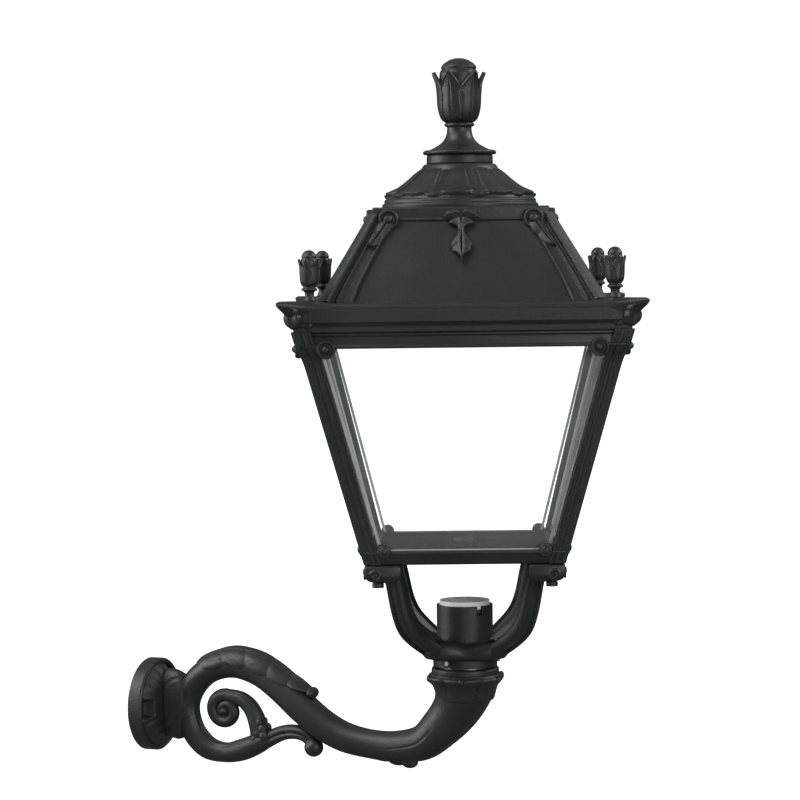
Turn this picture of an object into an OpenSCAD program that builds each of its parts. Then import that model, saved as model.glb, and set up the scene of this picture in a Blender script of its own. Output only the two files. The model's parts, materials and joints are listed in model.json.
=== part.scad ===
// Wall-bracket street lantern: a square tapered lantern that stands on the
// spigot of a scrolled cast arm. Millimetres, +Z up.
// The origin is the centre of the wall plate's back face, and +X leaves the wall.

/* [Wall plate] */
// Diameter of the round wall plate
plate_d = 114; // [106:1:160]
// Thickness of the wall plate at its rim
plate_t = 18; // [14:1:26]
// Diameter of the circle that the wall fixings lie on
fixing_pcd = 90; // [84:1:94]
// Diameter of each wall fixing hole
fixing_d = 7; // [5:0.5:9]
// Diameter of the cable entry through the plate
cable_d = 16; // [10:1:22]

/* [Arm] */
// Distance from the wall to the lantern's axis
arm_reach = 423; // [350:1:560]
// Height of the arm's end above the centre of the wall plate
arm_rise = 55; // [45:1:90]
// Height of the plain ring that ends the arm
end_ring_h = 12; // [8:1:20]

/* [Spigot] */
// Outside diameter of the spigot
spigot_d = 60; // [48:1:66]
// Wall of the spigot tube
spigot_wall = 4; // [3:0.5:8]
// Height of the spigot above the arm's end ring
spigot_len = 61; // [50:1:70]
// Radial clearance between the spigot and the socket that turns on it
swivel_clearance = 0.05; // [0.02:0.01:0.1]
// Angle that the lantern is turned to on the spigot
lantern_turn = 22; // [-180:1:180]

/* [Fork] */
// Wall of the socket tube
socket_wall = 3.2; // [3:0.1:6]
// Height of the clamping collar at the foot of the socket
collar_h = 15; // [12:1:22]
// How far the collar stands out from the socket tube
collar_lip = 4.8; // [3:0.1:8]
// Height from the foot of the socket to the underside of the lantern
fork_h = 131.5; // [115:0.5:170]
// Width of each square foot that carries the lantern
foot_w = 43; // [36:1:50]
// Height of each foot
foot_h = 22; // [16:1:30]

/* [Lantern frame] */
// Width across the foot of the tapered frame
frame_bottom_w = 230; // [200:1:290]
// Width across the top of the tapered frame
frame_top_w = 364; // [310:1:440]
// Height of the tapered frame, up to the upper rail
frame_h = 250; // [205:1:320]
// Height of the lower rail
lower_rail_h = 16; // [14:1:26]
// Height of the upper rail
upper_rail_h = 18; // [14:1:30]
// Width of each corner post
post_w = 22; // [16:1:28]
// Thickness of the glazing
pane_t = 4; // [3:0.5:6]
// How deep the glazing lies behind the face of the posts
pane_recess = 8; // [5:0.5:10]
// Thickness of the seal between the frame and the roof
seal_t = 2.2; // [1.5:0.1:4]

/* [Roof] */
// Width across the eave
eave_w = 384; // [360:1:460]
// Height of the eave
eave_h = 28.8; // [22:0.1:44]
// Width across the foot of the sloping roof
roof_bottom_w = 306; // [270:1:320]
// Width across the top of the sloping roof
roof_top_w = 195; // [185:1:215]
// Height of the sloping roof
roof_h = 108; // [85:1:150]
// Wall of the roof shell
roof_wall = 3; // [2.5:0.5:5]
// Distance between neighbouring corner finials
finial_pitch = 340; // [315:1:350]
// Diameter of the threaded rod that holds the top finial
rod_d = 8; // [6:1:10]
// How far the corner horns stand out beyond the eave
horn_reach = 15; // [8:1:24]

/* [Hidden] */

$fn = 64;

// Gap left between faces of bodies that move past each other
move_gap = 0.3;
// Clearance of a bolt in its hole, on the radius
bolt_clearance = 0.25;

// Wall plate: a rounded rim, and a dished face that holds the fixings round a low hub
plate_r = plate_d / 2;
rim_w = 4;
dish_depth = 5;
hub_r = 24;
plate_edge = 2.5;

// Arm: the scroll keeps its place by the wall, the bend its place by the spigot
scroll_shoulder_x = 187;
bend_back = 55;
scroll_z = 0;
// How deep the root is along Y, as a share of its height
root_depth = 0.42;
volute_x = 106;
volute_z = -4;
volute_r = 17.5;
end_ring_r = spigot_d / 2 + 10;
z_end = arm_rise;
z_ring_top = z_end + end_ring_h;
spigot_r = spigot_d / 2;

// Fork
z_socket = z_ring_top + move_gap + 0.2;
socket_r_in = spigot_r + swivel_clearance;
socket_r = spigot_r + socket_wall;
collar_r = socket_r + collar_lip;
z_spigot_top = z_ring_top + spigot_len;
web_t = 6;
z_web = z_spigot_top + 2;
block_h = 9;
socket_rim_h = 4;
z_base = z_socket + fork_h;
foot_c = frame_bottom_w / 2 - foot_w / 2;
bolt_r = 4;
bolt_c = foot_c + 6;
bolt_grip = 11;
z_foot = z_base - foot_h;
set_screw_r = 2.5;
set_screw_out = 3.5;
set_screw_angles = [-122.5, -2.5, 117.5];

// Tapered frame
taper = (frame_top_w - frame_bottom_w) / 2 / frame_h;
lean = atan(taper);
base_plate_t = 4;
z_glass_low = z_base + lower_rail_h;
z_glass_high = z_base + frame_h;
z_plate = z_glass_low - base_plate_t;
z_frame_top = z_glass_high + upper_rail_h;
upper_half = frame_top_w / 2 + 2;
upper_rail_w = 26;
seal_w = 10;
base_ledge = 6;
bead_w = 4;
bead_t = 2;
edge_gap = 0.5;
boss_r = 11.5;
boss_proud = 7;
boss_c = frame_top_w / 2 - 30;

// Roof
z_eave = z_frame_top + seal_t + move_gap;
z_roof = z_eave + eave_h;
z_roof_top = z_roof + roof_h;
eave_half = eave_w / 2;
roof_half = roof_bottom_w / 2;
roof_top_half = roof_top_w / 2;
band_h = 15;
band_proud = 2;
hip_run = roof_half - roof_top_half - band_proud;
slope_h = roof_h - band_h;
roof_lean = atan(hip_run / slope_h);
eave_in = upper_half - upper_rail_w + 4;
eave_wall = 5;
rib_r = 7;
eave_step = 5;
rod_r = rod_d / 2;
rod_hole_r = rod_r + bolt_clearance;
dome_r = roof_top_half - 6;
dome_h = 51;
neck_r = 38.8;
neck_h = 11;
flange_r = 43;
flange_h = 6;
stem_h = 32;
z_neck = z_roof_top + dome_h;
z_flange = z_neck + neck_h;
z_stem = z_flange + flange_h;
z_cup = z_stem + stem_h;
z_rod_low = z_roof_top - 24;
z_rod_high = z_cup + 22;
nut_h = 7;

// Rear hinge of the roof
hinge_back = 8;
hinge_pin_r = 2.5;
knuckle_r = 5.5;
knuckle_w = 20;
hinge_c = 110;
hinge_y = eave_half + hinge_back;
hinge_z = z_eave + 0.5;
pin_clearance = 0.05;
web_gap = 0.2;
screw_c = eave_half - 62;
roof_screw_r = 2.5;
screw_head_r = 4;
screw_head_h = 5;
screw_y = 5.5 - upper_half;
screw_reach = 6;

// Gear in the roof
tray_half = eave_in - edge_gap;
tray_t = 2;
z_tray = z_roof - eave_wall - tray_t;
led_r = 62;
led_h = 10;

// ---------- shared shapes ----------

// Point on a smooth curve through p1 and p2, t from 0 to 1
function smooth(p0, p1, p2, p3, t) =
    0.5 * (2 * p1 + (p2 - p0) * t
        + (2 * p0 - 5 * p1 + 4 * p2 - p3) * t * t
        + (3 * p1 - p0 - 3 * p2 + p3) * t * t * t);

// A smooth path of [x, z, radius] through the given ones
function path_through(pts, steps) = let (n = len(pts) - 1) concat(
    [for (i = [0 : n - 1], k = [0 : steps - 1])
        smooth(pts[max(i - 1, 0)], pts[i], pts[i + 1], pts[min(i + 2, n)], k / steps)],
    [pts[n]]);

// Unit direction of the path at point i, in the XZ plane
function heading(path, i) = let (
    a = path[max(i - 1, 0)],
    b = path[min(i + 1, len(path) - 1)],
    d = [b[0] - a[0], b[1] - a[1]]) d / norm(d);

// A round bar along a path in the XZ plane; depth squashes it along Y
module bar(path, sides = 12, depth = 1) {
    last = len(path) - 1;
    polyhedron(
        points = [for (i = [0 : last]) let (h = heading(path, i), p = path[i])
            for (k = [0 : sides - 1]) let (a = 360 * (k + 0.5) / sides)
                [p[0] - h[1] * p[2] * cos(a), depth * p[2] * sin(a), p[1] + h[0] * p[2] * cos(a)]],
        faces = concat(
            [[for (k = [0 : sides - 1]) k]],
            [[for (k = [0 : sides - 1]) last * sides + sides - 1 - k]],
            [for (i = [0 : last - 1], k = [0 : sides - 1]) let (n = (k + 1) % sides)
                [i * sides + k, (i + 1) * sides + k, (i + 1) * sides + n]],
            [for (i = [0 : last - 1], k = [0 : sides - 1]) let (n = (k + 1) % sides)
                [i * sides + k, (i + 1) * sides + n, i * sides + n]]));
}

// A mitred square ring with the given [half width, height] outline
module square_ring(outline) {
    rotate([0, 0, 45])
        rotate_extrude($fn = 4)
            polygon([for (p = outline) [p[0] * sqrt(2), p[1]]]);
}

// Half width of the tapered frame at height z
function half_at(z) = frame_bottom_w / 2 + (z - z_base) * taper;

// Everything on the lantern is drawn square to its own axis, then stood on the spigot
module on_spigot() {
    translate([arm_reach, 0, 0]) rotate([0, 0, lantern_turn]) children();
}

// The four corners of a square, one child at each, turned with its corner
module at_corners(half) {
    for (q = [0 : 3]) rotate([0, 0, 90 * q]) translate([-half, -half, 0]) children();
}

// ---------- bracket ----------

module wall_plate() {
    color("dimgray") rotate([0, 90, 0]) difference() {
        rotate_extrude() polygon([
            [cable_d / 2, 0], [plate_r - 1, 0], [plate_r, 1], [plate_r, plate_t - plate_edge],
            [plate_r - plate_edge, plate_t], [plate_r - rim_w, plate_t],
            [plate_r - rim_w - 2, plate_t - dish_depth], [hub_r + 2, plate_t - dish_depth],
            [hub_r, plate_t], [cable_d / 2, plate_t]]);
        for (a = [0 : 120 : 240])
            rotate([0, 0, a - 90]) translate([fixing_pcd / 2, 0, -1])
                cylinder(r = fixing_d / 2, h = plate_t + 2);
    }
}

module cable_grommet() {
    color("black") rotate([0, 90, 0])
        translate([0, 0, 1]) difference() {
            cylinder(r = cable_d / 2, h = 6);
            translate([0, 0, -1]) cylinder(r = cable_d / 2 - 2.5, h = 8);
        }
}

// The leafy root of the arm, tall and narrow, seated on the plate's hub
module plate_collar() {
    color("dimgray") bar(path_through([
        [plate_t, scroll_z, 34], [plate_t + 8, scroll_z, 42], [plate_t + 20, scroll_z, 46],
        [plate_t + 32, scroll_z, 43], [plate_t + 40, scroll_z, 30]], 3), 16, root_depth);
}

// Where the run between the scroll and the bend stands, from 0 at the scroll to 1 at the bend
function run_x(t) = scroll_shoulder_x + t * (arm_reach - bend_back - scroll_shoulder_x);

function arm_points() = [
    [arm_reach, z_end - 3, 37],
    [arm_reach - 3, z_end - 20, 34.5],
    [arm_reach - 13, z_end - 42, 29],
    [arm_reach - 32, z_end - 64, 25],
    [run_x(1), -28, 21.5],
    [run_x(0.82), -35, 19],
    [run_x(0.63), -34, 17.5],
    [run_x(0.45), -28, 18],
    [run_x(0.3), -16, 18.5],
    [run_x(0.15), 3, 19],
    [scroll_shoulder_x, 26, 19.5],
    [156, 47, 19.5],
    [121, 55.5, 18.5],
    [88, 47, 16.5],
    [64, 27, 16],
    [54, 0, 14.5],
    [60, -29, 14.5],
    [79, -50, 14],
    [104, -56, 12.5],
    [128, -51, 13.5],
    [150, -42, 12.5],
    [166, -35, 9]
];

module arm_beam() {
    color("dimgray") bar(concat([[arm_reach, z_end, 38]], path_through(arm_points(), 3)), 16);
}

// Spiral of the volute: over the top of the stem, then round and in to the eye
function volute_turns() = [for (t = [0 : 0.05 : 1]) let (
    a = 75 + 570 * t,
    w = max(0, (t - 0.3) / 0.7),
    r = volute_r - (volute_r - 6) * w * w * (3 - 2 * w))
    [volute_x + r * cos(a), volute_z + 2 * (1 - t) + r * sin(a), 7 - 3.8 * t]];

module volute_scroll() {
    stem = path_through(concat(
        [[148, -41, 9], [151, -24, 11.5], [143, -2, 10.5], [129, 11, 8.8]],
        [volute_turns()[0]]), 3);
    color("dimgray")
        bar(concat([for (i = [0 : len(stem) - 2]) stem[i]], volute_turns()), 12);
}

module volute_disc() {
    color("dimgray") translate([volute_x, 0, volute_z]) rotate([90, 0, 0]) rotate_extrude()
        polygon([[0, -9], [5, -8], [8, -4], [volute_r - 2, -4],
            [volute_r - 2, 4], [8, 4], [5, 8], [0, 9]]);
}

module tendril() {
    color("dimgray") bar(path_through([
        [156, -42, 9], [172, -32, 9.5], [188, -26, 9], [203, -25.5, 8.8], [216, -31, 8.6],
        [224, -40, 11.5], [224, -49, 7]], 3), 12);
}

// Acanthus leaf that sheathes the top of the scroll and curls up at its tip
module arm_leaf() {
    color("dimgray") bar(path_through([
        [112, 68, 3], [130, 69, 6.5], [154, 63, 7.5], [178, 49, 8], [202, 30, 8],
        [218, 23, 5.5], [226, 26, 3]], 3), 10, 1.6);
}

module arm_bead() {
    color("dimgray") translate([run_x(0.82) + 4, 0, -51]) sphere(r = 10);
}

module end_ring() {
    color("dimgray") translate([arm_reach, 0, z_end])
        cylinder(r = end_ring_r, h = end_ring_h - 1.5);
}

// Leaves that cup the end of the arm
module end_leaves() {
    color("dimgray") translate([arm_reach, 0, z_end]) rotate_extrude() polygon([
        [end_ring_r - 3, -22], [end_ring_r - 1, -20], [end_ring_r + 8, -5],
        [end_ring_r + 9, 0], [end_ring_r + 6, 1.5], [end_ring_r + 2, -2],
        [end_ring_r - 3, -2]]);
}

module spigot() {
    color("silver") translate([arm_reach, 0, z_ring_top - 1.5]) difference() {
        cylinder(r = spigot_r, h = spigot_len + 1.5);
        translate([0, 0, -1]) cylinder(r = spigot_r - spigot_wall, h = spigot_len + 4);
    }
}

// ---------- fork ----------

module fork_hub() {
    z_rim = z_web + web_t + socket_rim_h;
    color("dimgray") on_spigot() difference() {
        union() {
            translate([0, 0, z_socket]) cylinder(r = socket_r, h = z_rim - z_socket);
            translate([0, 0, z_socket]) cylinder(r = collar_r, h = collar_h - 2);
        }
        translate([0, 0, z_socket - 1]) cylinder(r = socket_r_in, h = z_web - z_socket + 1);
        translate([0, 0, z_web - 1]) cylinder(r = cable_d / 2, h = web_t + 2);
        translate([0, 0, z_web + web_t]) cylinder(r = spigot_r, h = socket_rim_h + 1);
        for (a = set_screw_angles)
            rotate([0, 0, a]) translate([0, 0, z_socket + collar_h / 2 - 1]) rotate([0, 90, 0])
                cylinder(r = set_screw_r + bolt_clearance, h = collar_r + 1);
        rotate([0, 0, -58]) translate([spigot_r - 1, -3.5, z_rim - 11])
            cube([socket_wall + 3, 7, 12]);
    }
}

// Screws that clamp the socket on the spigot
module set_screws() {
    color("gainsboro") on_spigot() for (a = set_screw_angles)
        rotate([0, 0, a]) translate([socket_r_in + move_gap, 0, z_socket + collar_h / 2 - 1])
            rotate([0, 90, 0])
                cylinder(r = set_screw_r, h = collar_r - socket_r_in - move_gap + set_screw_out);
}

// One S-shaped leg of the fork, on a diagonal, from the hub to its foot
function leg_points() = let (top = (foot_c - 13) * sqrt(2)) [
    [socket_r - 1.5, z_socket + 24, 13],
    [socket_r + 8, z_socket + 24, 15],
    [socket_r + 24, z_socket + 31, 17],
    [top - 28, z_socket + 48, 18],
    [top - 15, z_socket + 70, 15.5],
    [top - 6, z_foot - 4, 14.5],
    [top, z_base - 12, 14.5]
];

module fork_leg(q) {
    path = path_through(leg_points(), 3);
    foot = path[len(path) - 1];
    color("dimgray") on_spigot() rotate([0, 0, 225 + 90 * q])
        bar(concat(path, [[foot[0], z_base - 3, foot[2]], [foot[0], z_base, foot[2]]]), 12);
}

module fork_feet() {
    color("dimgray") on_spigot() at_corners(foot_c) difference() {
        translate([-foot_w / 2, -foot_w / 2, z_foot]) cube([foot_w, foot_w, foot_h]);
        translate([foot_c - bolt_c, foot_c - bolt_c, z_foot - 1])
            cylinder(r = bolt_r + bolt_clearance, h = foot_h + 2);
    }
}

module fork_bolts() {
    color("silver") on_spigot() at_corners(bolt_c) {
        translate([0, 0, z_foot - 5]) cylinder(r = bolt_r * 1.7, h = 5);
        translate([0, 0, z_foot]) cylinder(r = bolt_r, h = foot_h + bolt_grip);
    }
}

module terminal_block() {
    color("white") on_spigot() translate([0, 0, z_web + web_t]) difference() {
        cylinder(r = spigot_r - edge_gap, h = block_h);
        for (x = [-12, 0, 12], y = [-9, 9])
            translate([x, y, block_h - 4]) cylinder(r = 2.2, h = 5);
    }
}

// ---------- lantern frame ----------

module lower_frame() {
    high = half_at(z_glass_low);
    inner = high - post_w;
    color("dimgray") on_spigot() difference() {
        square_ring([
            [half_at(z_base), z_base], [high, z_glass_low], [inner, z_glass_low],
            [inner, z_plate], [inner - base_ledge, z_plate], [inner - base_ledge, z_base]]);
        at_corners(bolt_c) translate([0, 0, z_base - 1])
            cylinder(r = bolt_r + bolt_clearance, h = bolt_grip + 2);
    }
}

// Plate that closes the foot of the lantern, flush with the top of the lower rail
module base_plate() {
    half = half_at(z_glass_low) - post_w - edge_gap;
    color("dimgray") on_spigot() difference() {
        translate([-half, -half, z_plate]) cube([2 * half, 2 * half, base_plate_t]);
        translate([0, 0, z_plate - 1])
            cylinder(r = cable_d / 2 + bolt_clearance, h = base_plate_t + 2);
    }
}

module base_gland() {
    color("black") on_spigot() difference() {
        union() {
            translate([0, 0, z_plate - 8]) cylinder(r = cable_d / 2, h = 16);
            translate([0, 0, z_plate - 6]) cylinder(r = cable_d / 2 + 4, h = 6);
            translate([0, 0, z_glass_low]) cylinder(r = cable_d / 2 + 4, h = 3);
        }
        translate([0, 0, z_plate - 9]) cylinder(r = cable_d / 2 - 3, h = 18);
    }
}

// Corner post q, counted from the front left, leaning along both faces
module post(q) {
    low = half_at(z_glass_low) - post_w / 2;
    high = half_at(z_glass_high) - post_w / 2;
    color("dimgray") on_spigot() rotate([0, 0, 90 * q]) hull() {
        translate([-low, -low, z_glass_low]) linear_extrude(0.01) square(post_w, center = true);
        translate([-high, -high, z_glass_high - 0.01]) linear_extrude(0.01)
            square(post_w, center = true);
    }
}

module upper_frame() {
    color("dimgray") on_spigot() difference() {
        square_ring([
            [upper_half - upper_rail_w, z_glass_high], [upper_half, z_glass_high],
            [upper_half, z_frame_top], [upper_half - upper_rail_w, z_frame_top]]);
        for (s = [-1, 1]) translate([s * screw_c, screw_y, z_glass_high - 1]) {
            cylinder(r = roof_screw_r + bolt_clearance, h = upper_rail_h + 2);
            cylinder(r = screw_head_r + bolt_clearance, h = screw_head_h + 1);
        }
    }
}

// Round scroll ends under the eave, two on each side
module scroll_bosses() {
    color("dimgray") on_spigot() for (q = [0 : 3], s = [-1, 1])
        rotate([0, 0, 90 * q]) translate([s * boss_c, -upper_half, z_glass_high - 1])
            rotate([90, 0, 0]) cylinder(r = boss_r, h = boss_proud);
}

// Outline of a pane, shrunk by the given width, standing on the glazing plane
module pane_outline(inset) {
    z0 = z_glass_low + 1.5 + inset;
    z1 = z_glass_high - edge_gap - inset;
    rise = (z1 - z0) / cos(lean);
    low = half_at(z0) - post_w - edge_gap - inset;
    high = half_at(z1) - post_w - edge_gap - inset;
    translate([0, inset / cos(lean)])
        polygon([[-low, 0], [low, 0], [high, rise], [-high, rise]]);
}

// Stands a child on the back of the pane's plane, side q counted from the front
module on_glazing(q) {
    z0 = z_glass_low + 1.5;
    rotate([0, 0, 90 * q])
        translate([0, (pane_recess + pane_t) / cos(lean) - half_at(z0), z0])
            rotate([90 + lean, 0, 0]) children();
}

module pane(q) {
    color("lightcyan", 0.4) on_spigot() on_glazing(q)
        linear_extrude(pane_t) pane_outline(0);
}

// Beads that hold the panes from inside
module glazing_beads() {
    color("black") on_spigot() for (q = [0 : 3]) on_glazing(q)
        translate([0, 0, -bead_t]) linear_extrude(bead_t) difference() {
            pane_outline(1);
            pane_outline(bead_w);
        }
}

module roof_seal() {
    inner = upper_half - upper_rail_w + 3;
    outer = inner + seal_w;
    color("black") on_spigot() square_ring([
        [inner, z_frame_top], [outer, z_frame_top],
        [outer, z_frame_top + seal_t], [inner, z_frame_top + seal_t]]);
}

// Captive screws that hold the roof down at the front
module roof_screws() {
    color("silver") on_spigot() for (s = [-1, 1]) translate([s * screw_c, screw_y, z_glass_high]) {
        cylinder(r = screw_head_r, h = screw_head_h);
        cylinder(r = roof_screw_r, h = upper_rail_h + seal_t + screw_reach);
    }
}

// ---------- hinge ----------

// One hinge knuckle with its web, on the hinge line at x, reaching forward to y_web
module knuckle(x, w, y_web, z_low, z_high) {
    difference() {
        union() {
            translate([x - w / 2, hinge_y, hinge_z]) rotate([0, 90, 0]) cylinder(r = knuckle_r, h = w);
            translate([x - w / 2, y_web, z_low]) cube([w, hinge_y - y_web, z_high - z_low]);
        }
        translate([x - w, hinge_y, hinge_z]) rotate([0, 90, 0])
            cylinder(r = hinge_pin_r + pin_clearance, h = 2 * w);
    }
}

module frame_knuckles() {
    color("dimgray") on_spigot() for (s = [-1, 1], e = [-1, 1])
        knuckle(s * hinge_c + e * (knuckle_w + move_gap), knuckle_w, upper_half,
            hinge_z - knuckle_r, hinge_z - hinge_pin_r - web_gap);
}

module roof_knuckles() {
    color("dimgray") on_spigot() for (s = [-1, 1])
        knuckle(s * hinge_c, knuckle_w - move_gap, eave_half - eave_step,
            hinge_z + hinge_pin_r + web_gap, hinge_z + knuckle_r);
}

module hinge_pin() {
    w = 3 * knuckle_w + 6;
    color("silver") on_spigot() for (s = [-1, 1])
        translate([s * hinge_c - w / 2, hinge_y, hinge_z]) rotate([0, 90, 0])
            cylinder(r = hinge_pin_r, h = w);
}

// ---------- roof ----------

// The eave is a channel, open below between its inner and outer walls
module eave() {
    z_top = z_roof - eave_wall;
    color("dimgray") on_spigot() difference() {
        union() {
            square_ring([
                [eave_in, z_eave], [eave_in + eave_wall, z_eave], [eave_in + eave_wall, z_top],
                [eave_half - eave_step - eave_wall, z_top],
                [eave_half - eave_step - eave_wall, z_eave],
                [eave_half - eave_step, z_eave], [eave_half - eave_step, z_eave + 4],
                [eave_half, z_eave + 9], [eave_half, z_roof - 7], [eave_half - eave_step, z_roof],
                [roof_half - 12, z_roof], [roof_half - 12, z_top], [eave_in, z_top]]);
            for (s = [-1, 1]) translate([s * screw_c, screw_y, z_eave])
                cylinder(r = screw_head_r + 2, h = eave_h - 1);
        }
        for (s = [-1, 1]) translate([s * screw_c, screw_y, z_eave - 1])
            cylinder(r = roof_screw_r + 1.5, h = screw_reach + 3);
    }
}

// Horn at each corner of the eave
function horn_points() = let (corner = eave_half * sqrt(2)) [
    [corner - 14, z_eave + 3, 6], [corner - 2, z_eave + 12, 9], [corner + 8, z_eave + 24, 8],
    [corner + horn_reach + 2, z_roof + 1, 5], [corner + horn_reach + 5, z_roof + 4, 2]
];

module corner_horns() {
    color("dimgray") on_spigot() for (q = [0 : 3]) rotate([0, 0, 45 + 90 * q])
        bar(path_through(horn_points(), 2), 8);
}

// Small tulip finial on corner q of the eave
module corner_finial(q) {
    half = finial_pitch / 2;
    color("dimgray") on_spigot() rotate([0, 0, 90 * q]) translate([-half, -half, z_roof])
        rotate_extrude() polygon([
            [0, 0], [10, 0], [9, 4], [5.5, 9], [5.5, 14], [9, 16], [9, 18], [6, 20],
            [6.5, 24], [10, 30], [11, 40], [11.5, 52], [9.5, 54], [8, 57], [4, 60], [0, 60.5]]);
}

module roof_shell() {
    color("dimgray") on_spigot() difference() {
        square_ring([
            [roof_half, z_roof], [roof_top_half + band_proud, z_roof_top - band_h],
            [roof_top_half + band_proud, z_roof_top], [0, z_roof_top],
            [0, z_roof_top - roof_wall], [roof_top_half - roof_wall, z_roof_top - roof_wall],
            [roof_top_half - roof_wall, z_roof_top - band_h],
            [roof_half - roof_wall - 1, z_roof]]);
        translate([0, 0, z_roof_top - 2 * roof_wall]) cylinder(r = rod_hole_r, h = 3 * roof_wall);
    }
}

// Fluted ribs along the four hips
module hip_ribs() {
    run = hip_run * sqrt(2);
    len = norm([run, slope_h]);
    color("dimgray") on_spigot() for (q = [0 : 3]) rotate([0, 0, 45 + 90 * q])
        translate([roof_half * sqrt(2) - 5, 0, z_roof + 1]) rotate([0, -atan(run / slope_h), 0])
            cylinder(r = rib_r, h = len - rib_r);
}

module hip_scrolls() {
    half = roof_top_half - 9;
    color("dimgray") on_spigot() at_corners(half)
        translate([0, 0, z_roof_top - 14]) sphere(r = 12);
}

// Leaf that hangs down the middle of each roof slope
module roof_pendants() {
    color("dimgray") on_spigot() for (q = [0 : 3]) rotate([0, 0, 90 * q])
        translate([0, -roof_top_half - band_proud, z_roof_top - band_h])
            rotate([90 - roof_lean, 0, 0]) linear_extrude(6)
                polygon([[-16, -4], [-10, -12], [-9, -24], [0, -40], [9, -24], [10, -12], [16, -4],
                    [8, 0], [-8, 0]]);
}

module dome() {
    color("dimgray") on_spigot() translate([0, 0, z_roof_top]) rotate_extrude() polygon([
        [dome_r - 7, 0], [dome_r, 0], [dome_r, 5], [dome_r - 3, 7], [dome_r - 3, 13],
        [dome_r - 9, 19], [dome_r - 24, 26], [dome_r - 34, 34], [dome_r - 42, 42],
        [neck_r + 2, dome_h], [rod_hole_r, dome_h], [rod_hole_r, dome_h - 5],
        [neck_r - 4, dome_h - 5], [dome_r - 46, 38], [dome_r - 38, 30], [dome_r - 28, 22],
        [dome_r - 13, 14], [dome_r - 7, 9]]);
}

module neck_band() {
    color("dimgray") on_spigot() translate([0, 0, z_neck]) difference() {
        cylinder(r = neck_r, h = neck_h);
        translate([0, 0, -1]) cylinder(r = rod_hole_r, h = neck_h + 2);
    }
}

module cap_flange() {
    color("dimgray") on_spigot() translate([0, 0, z_flange]) rotate_extrude() polygon([
        [rod_hole_r, 0], [flange_r - 1, 0], [flange_r, 1], [flange_r, flange_h - 2],
        [flange_r - 3, flange_h], [rod_hole_r, flange_h]]);
}

module finial_stem() {
    color("dimgray") on_spigot() translate([0, 0, z_stem]) rotate_extrude() polygon([
        [rod_hole_r, 0], [33, 0], [27, 5], [17.5, 11], [14.6, 18], [14.2, 25], [16, 27.5],
        [17.3, 28.5], [17.3, 31], [15, stem_h], [rod_hole_r, stem_h]]);
}

// Tulip cup with its domed button
module finial_cup() {
    color("dimgray") on_spigot() translate([0, 0, z_cup]) difference() {
        rotate_extrude() polygon([
            [0, 0], [15, 0], [20, 6], [23.6, 13], [25, 20], [25.8, 34], [26.8, 42], [28.6, 52],
            [30.4, 59], [29.5, 61], [24.5, 62], [22, 66], [17, 70], [9, 73.5], [0, 74.8]]);
        translate([0, 0, -1]) cylinder(r = rod_r, h = 23);
    }
}

module tie_rod() {
    color("silver") on_spigot() translate([0, 0, z_rod_low])
        cylinder(r = rod_r, h = z_rod_high - z_rod_low - 1);
}

module tie_nut() {
    color("silver") on_spigot() translate([0, 0, z_roof_top - roof_wall - nut_h]) difference() {
        cylinder(r = rod_r * 1.8, h = nut_h, $fn = 6);
        translate([0, 0, -1]) cylinder(r = rod_r + 0.02, h = nut_h + 2);
    }
}

// ---------- gear in the roof ----------

module gear_tray() {
    color("silver") on_spigot() difference() {
        translate([-tray_half, -tray_half, z_tray]) cube([2 * tray_half, 2 * tray_half, tray_t]);
        for (s = [-1, 1]) translate([s * 30, 0, z_tray - 1]) cylinder(r = 5, h = tray_t + 2);
    }
}

module led_unit() {
    color("ivory") on_spigot() translate([0, 0, z_tray - led_h]) rotate_extrude()
        polygon([[0, 0], [led_r - 8, 0], [led_r, 5], [led_r, led_h], [0, led_h]]);
}

module driver() {
    color("whitesmoke") on_spigot() translate([-70, -105, z_tray + tray_t]) cube([140, 55, 30]);
}

wall_plate();
cable_grommet();
plate_collar();
arm_beam();
volute_scroll();
volute_disc();
tendril();
arm_leaf();
arm_bead();
end_leaves();
end_ring();
spigot();
fork_hub();
fork_leg(0);  // fork_leg_1
fork_leg(1);  // fork_leg_2
fork_leg(2);  // fork_leg_3
fork_leg(3);  // fork_leg_4
fork_feet();
fork_bolts();
set_screws();
terminal_block();
lower_frame();
base_plate();
base_gland();
post(0);  // post_1
post(1);  // post_2
post(2);  // post_3
post(3);  // post_4
upper_frame();
scroll_bosses();
pane(0);  // pane_front
pane(1);  // pane_right
pane(2);  // pane_rear
pane(3);  // pane_left
glazing_beads();
roof_seal();
frame_knuckles();
hinge_pin();
roof_screws();
eave();
corner_horns();
corner_finial(0);  // corner_finial_1
corner_finial(1);  // corner_finial_2
corner_finial(2);  // corner_finial_3
corner_finial(3);  // corner_finial_4
roof_shell();
hip_ribs();
hip_scrolls();
roof_pendants();
dome();
neck_band();
cap_flange();
finial_stem();
finial_cup();
tie_rod();
tie_nut();
roof_knuckles();
gear_tray();
led_unit();
driver();
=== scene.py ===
"""Looks of a square street lantern on its scrolled wall arm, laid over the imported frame.

Every sub-assembly is a class that builds its pieces in millimetres, on the same datums as the
frame, and dresses them in one of the finishes below.
"""

import json
import logging
import math
from dataclasses import dataclass
from enum import Enum
from typing import Callable, Sequence

import bmesh
import bpy
import numpy as np
from mathutils import Matrix, Vector


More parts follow.
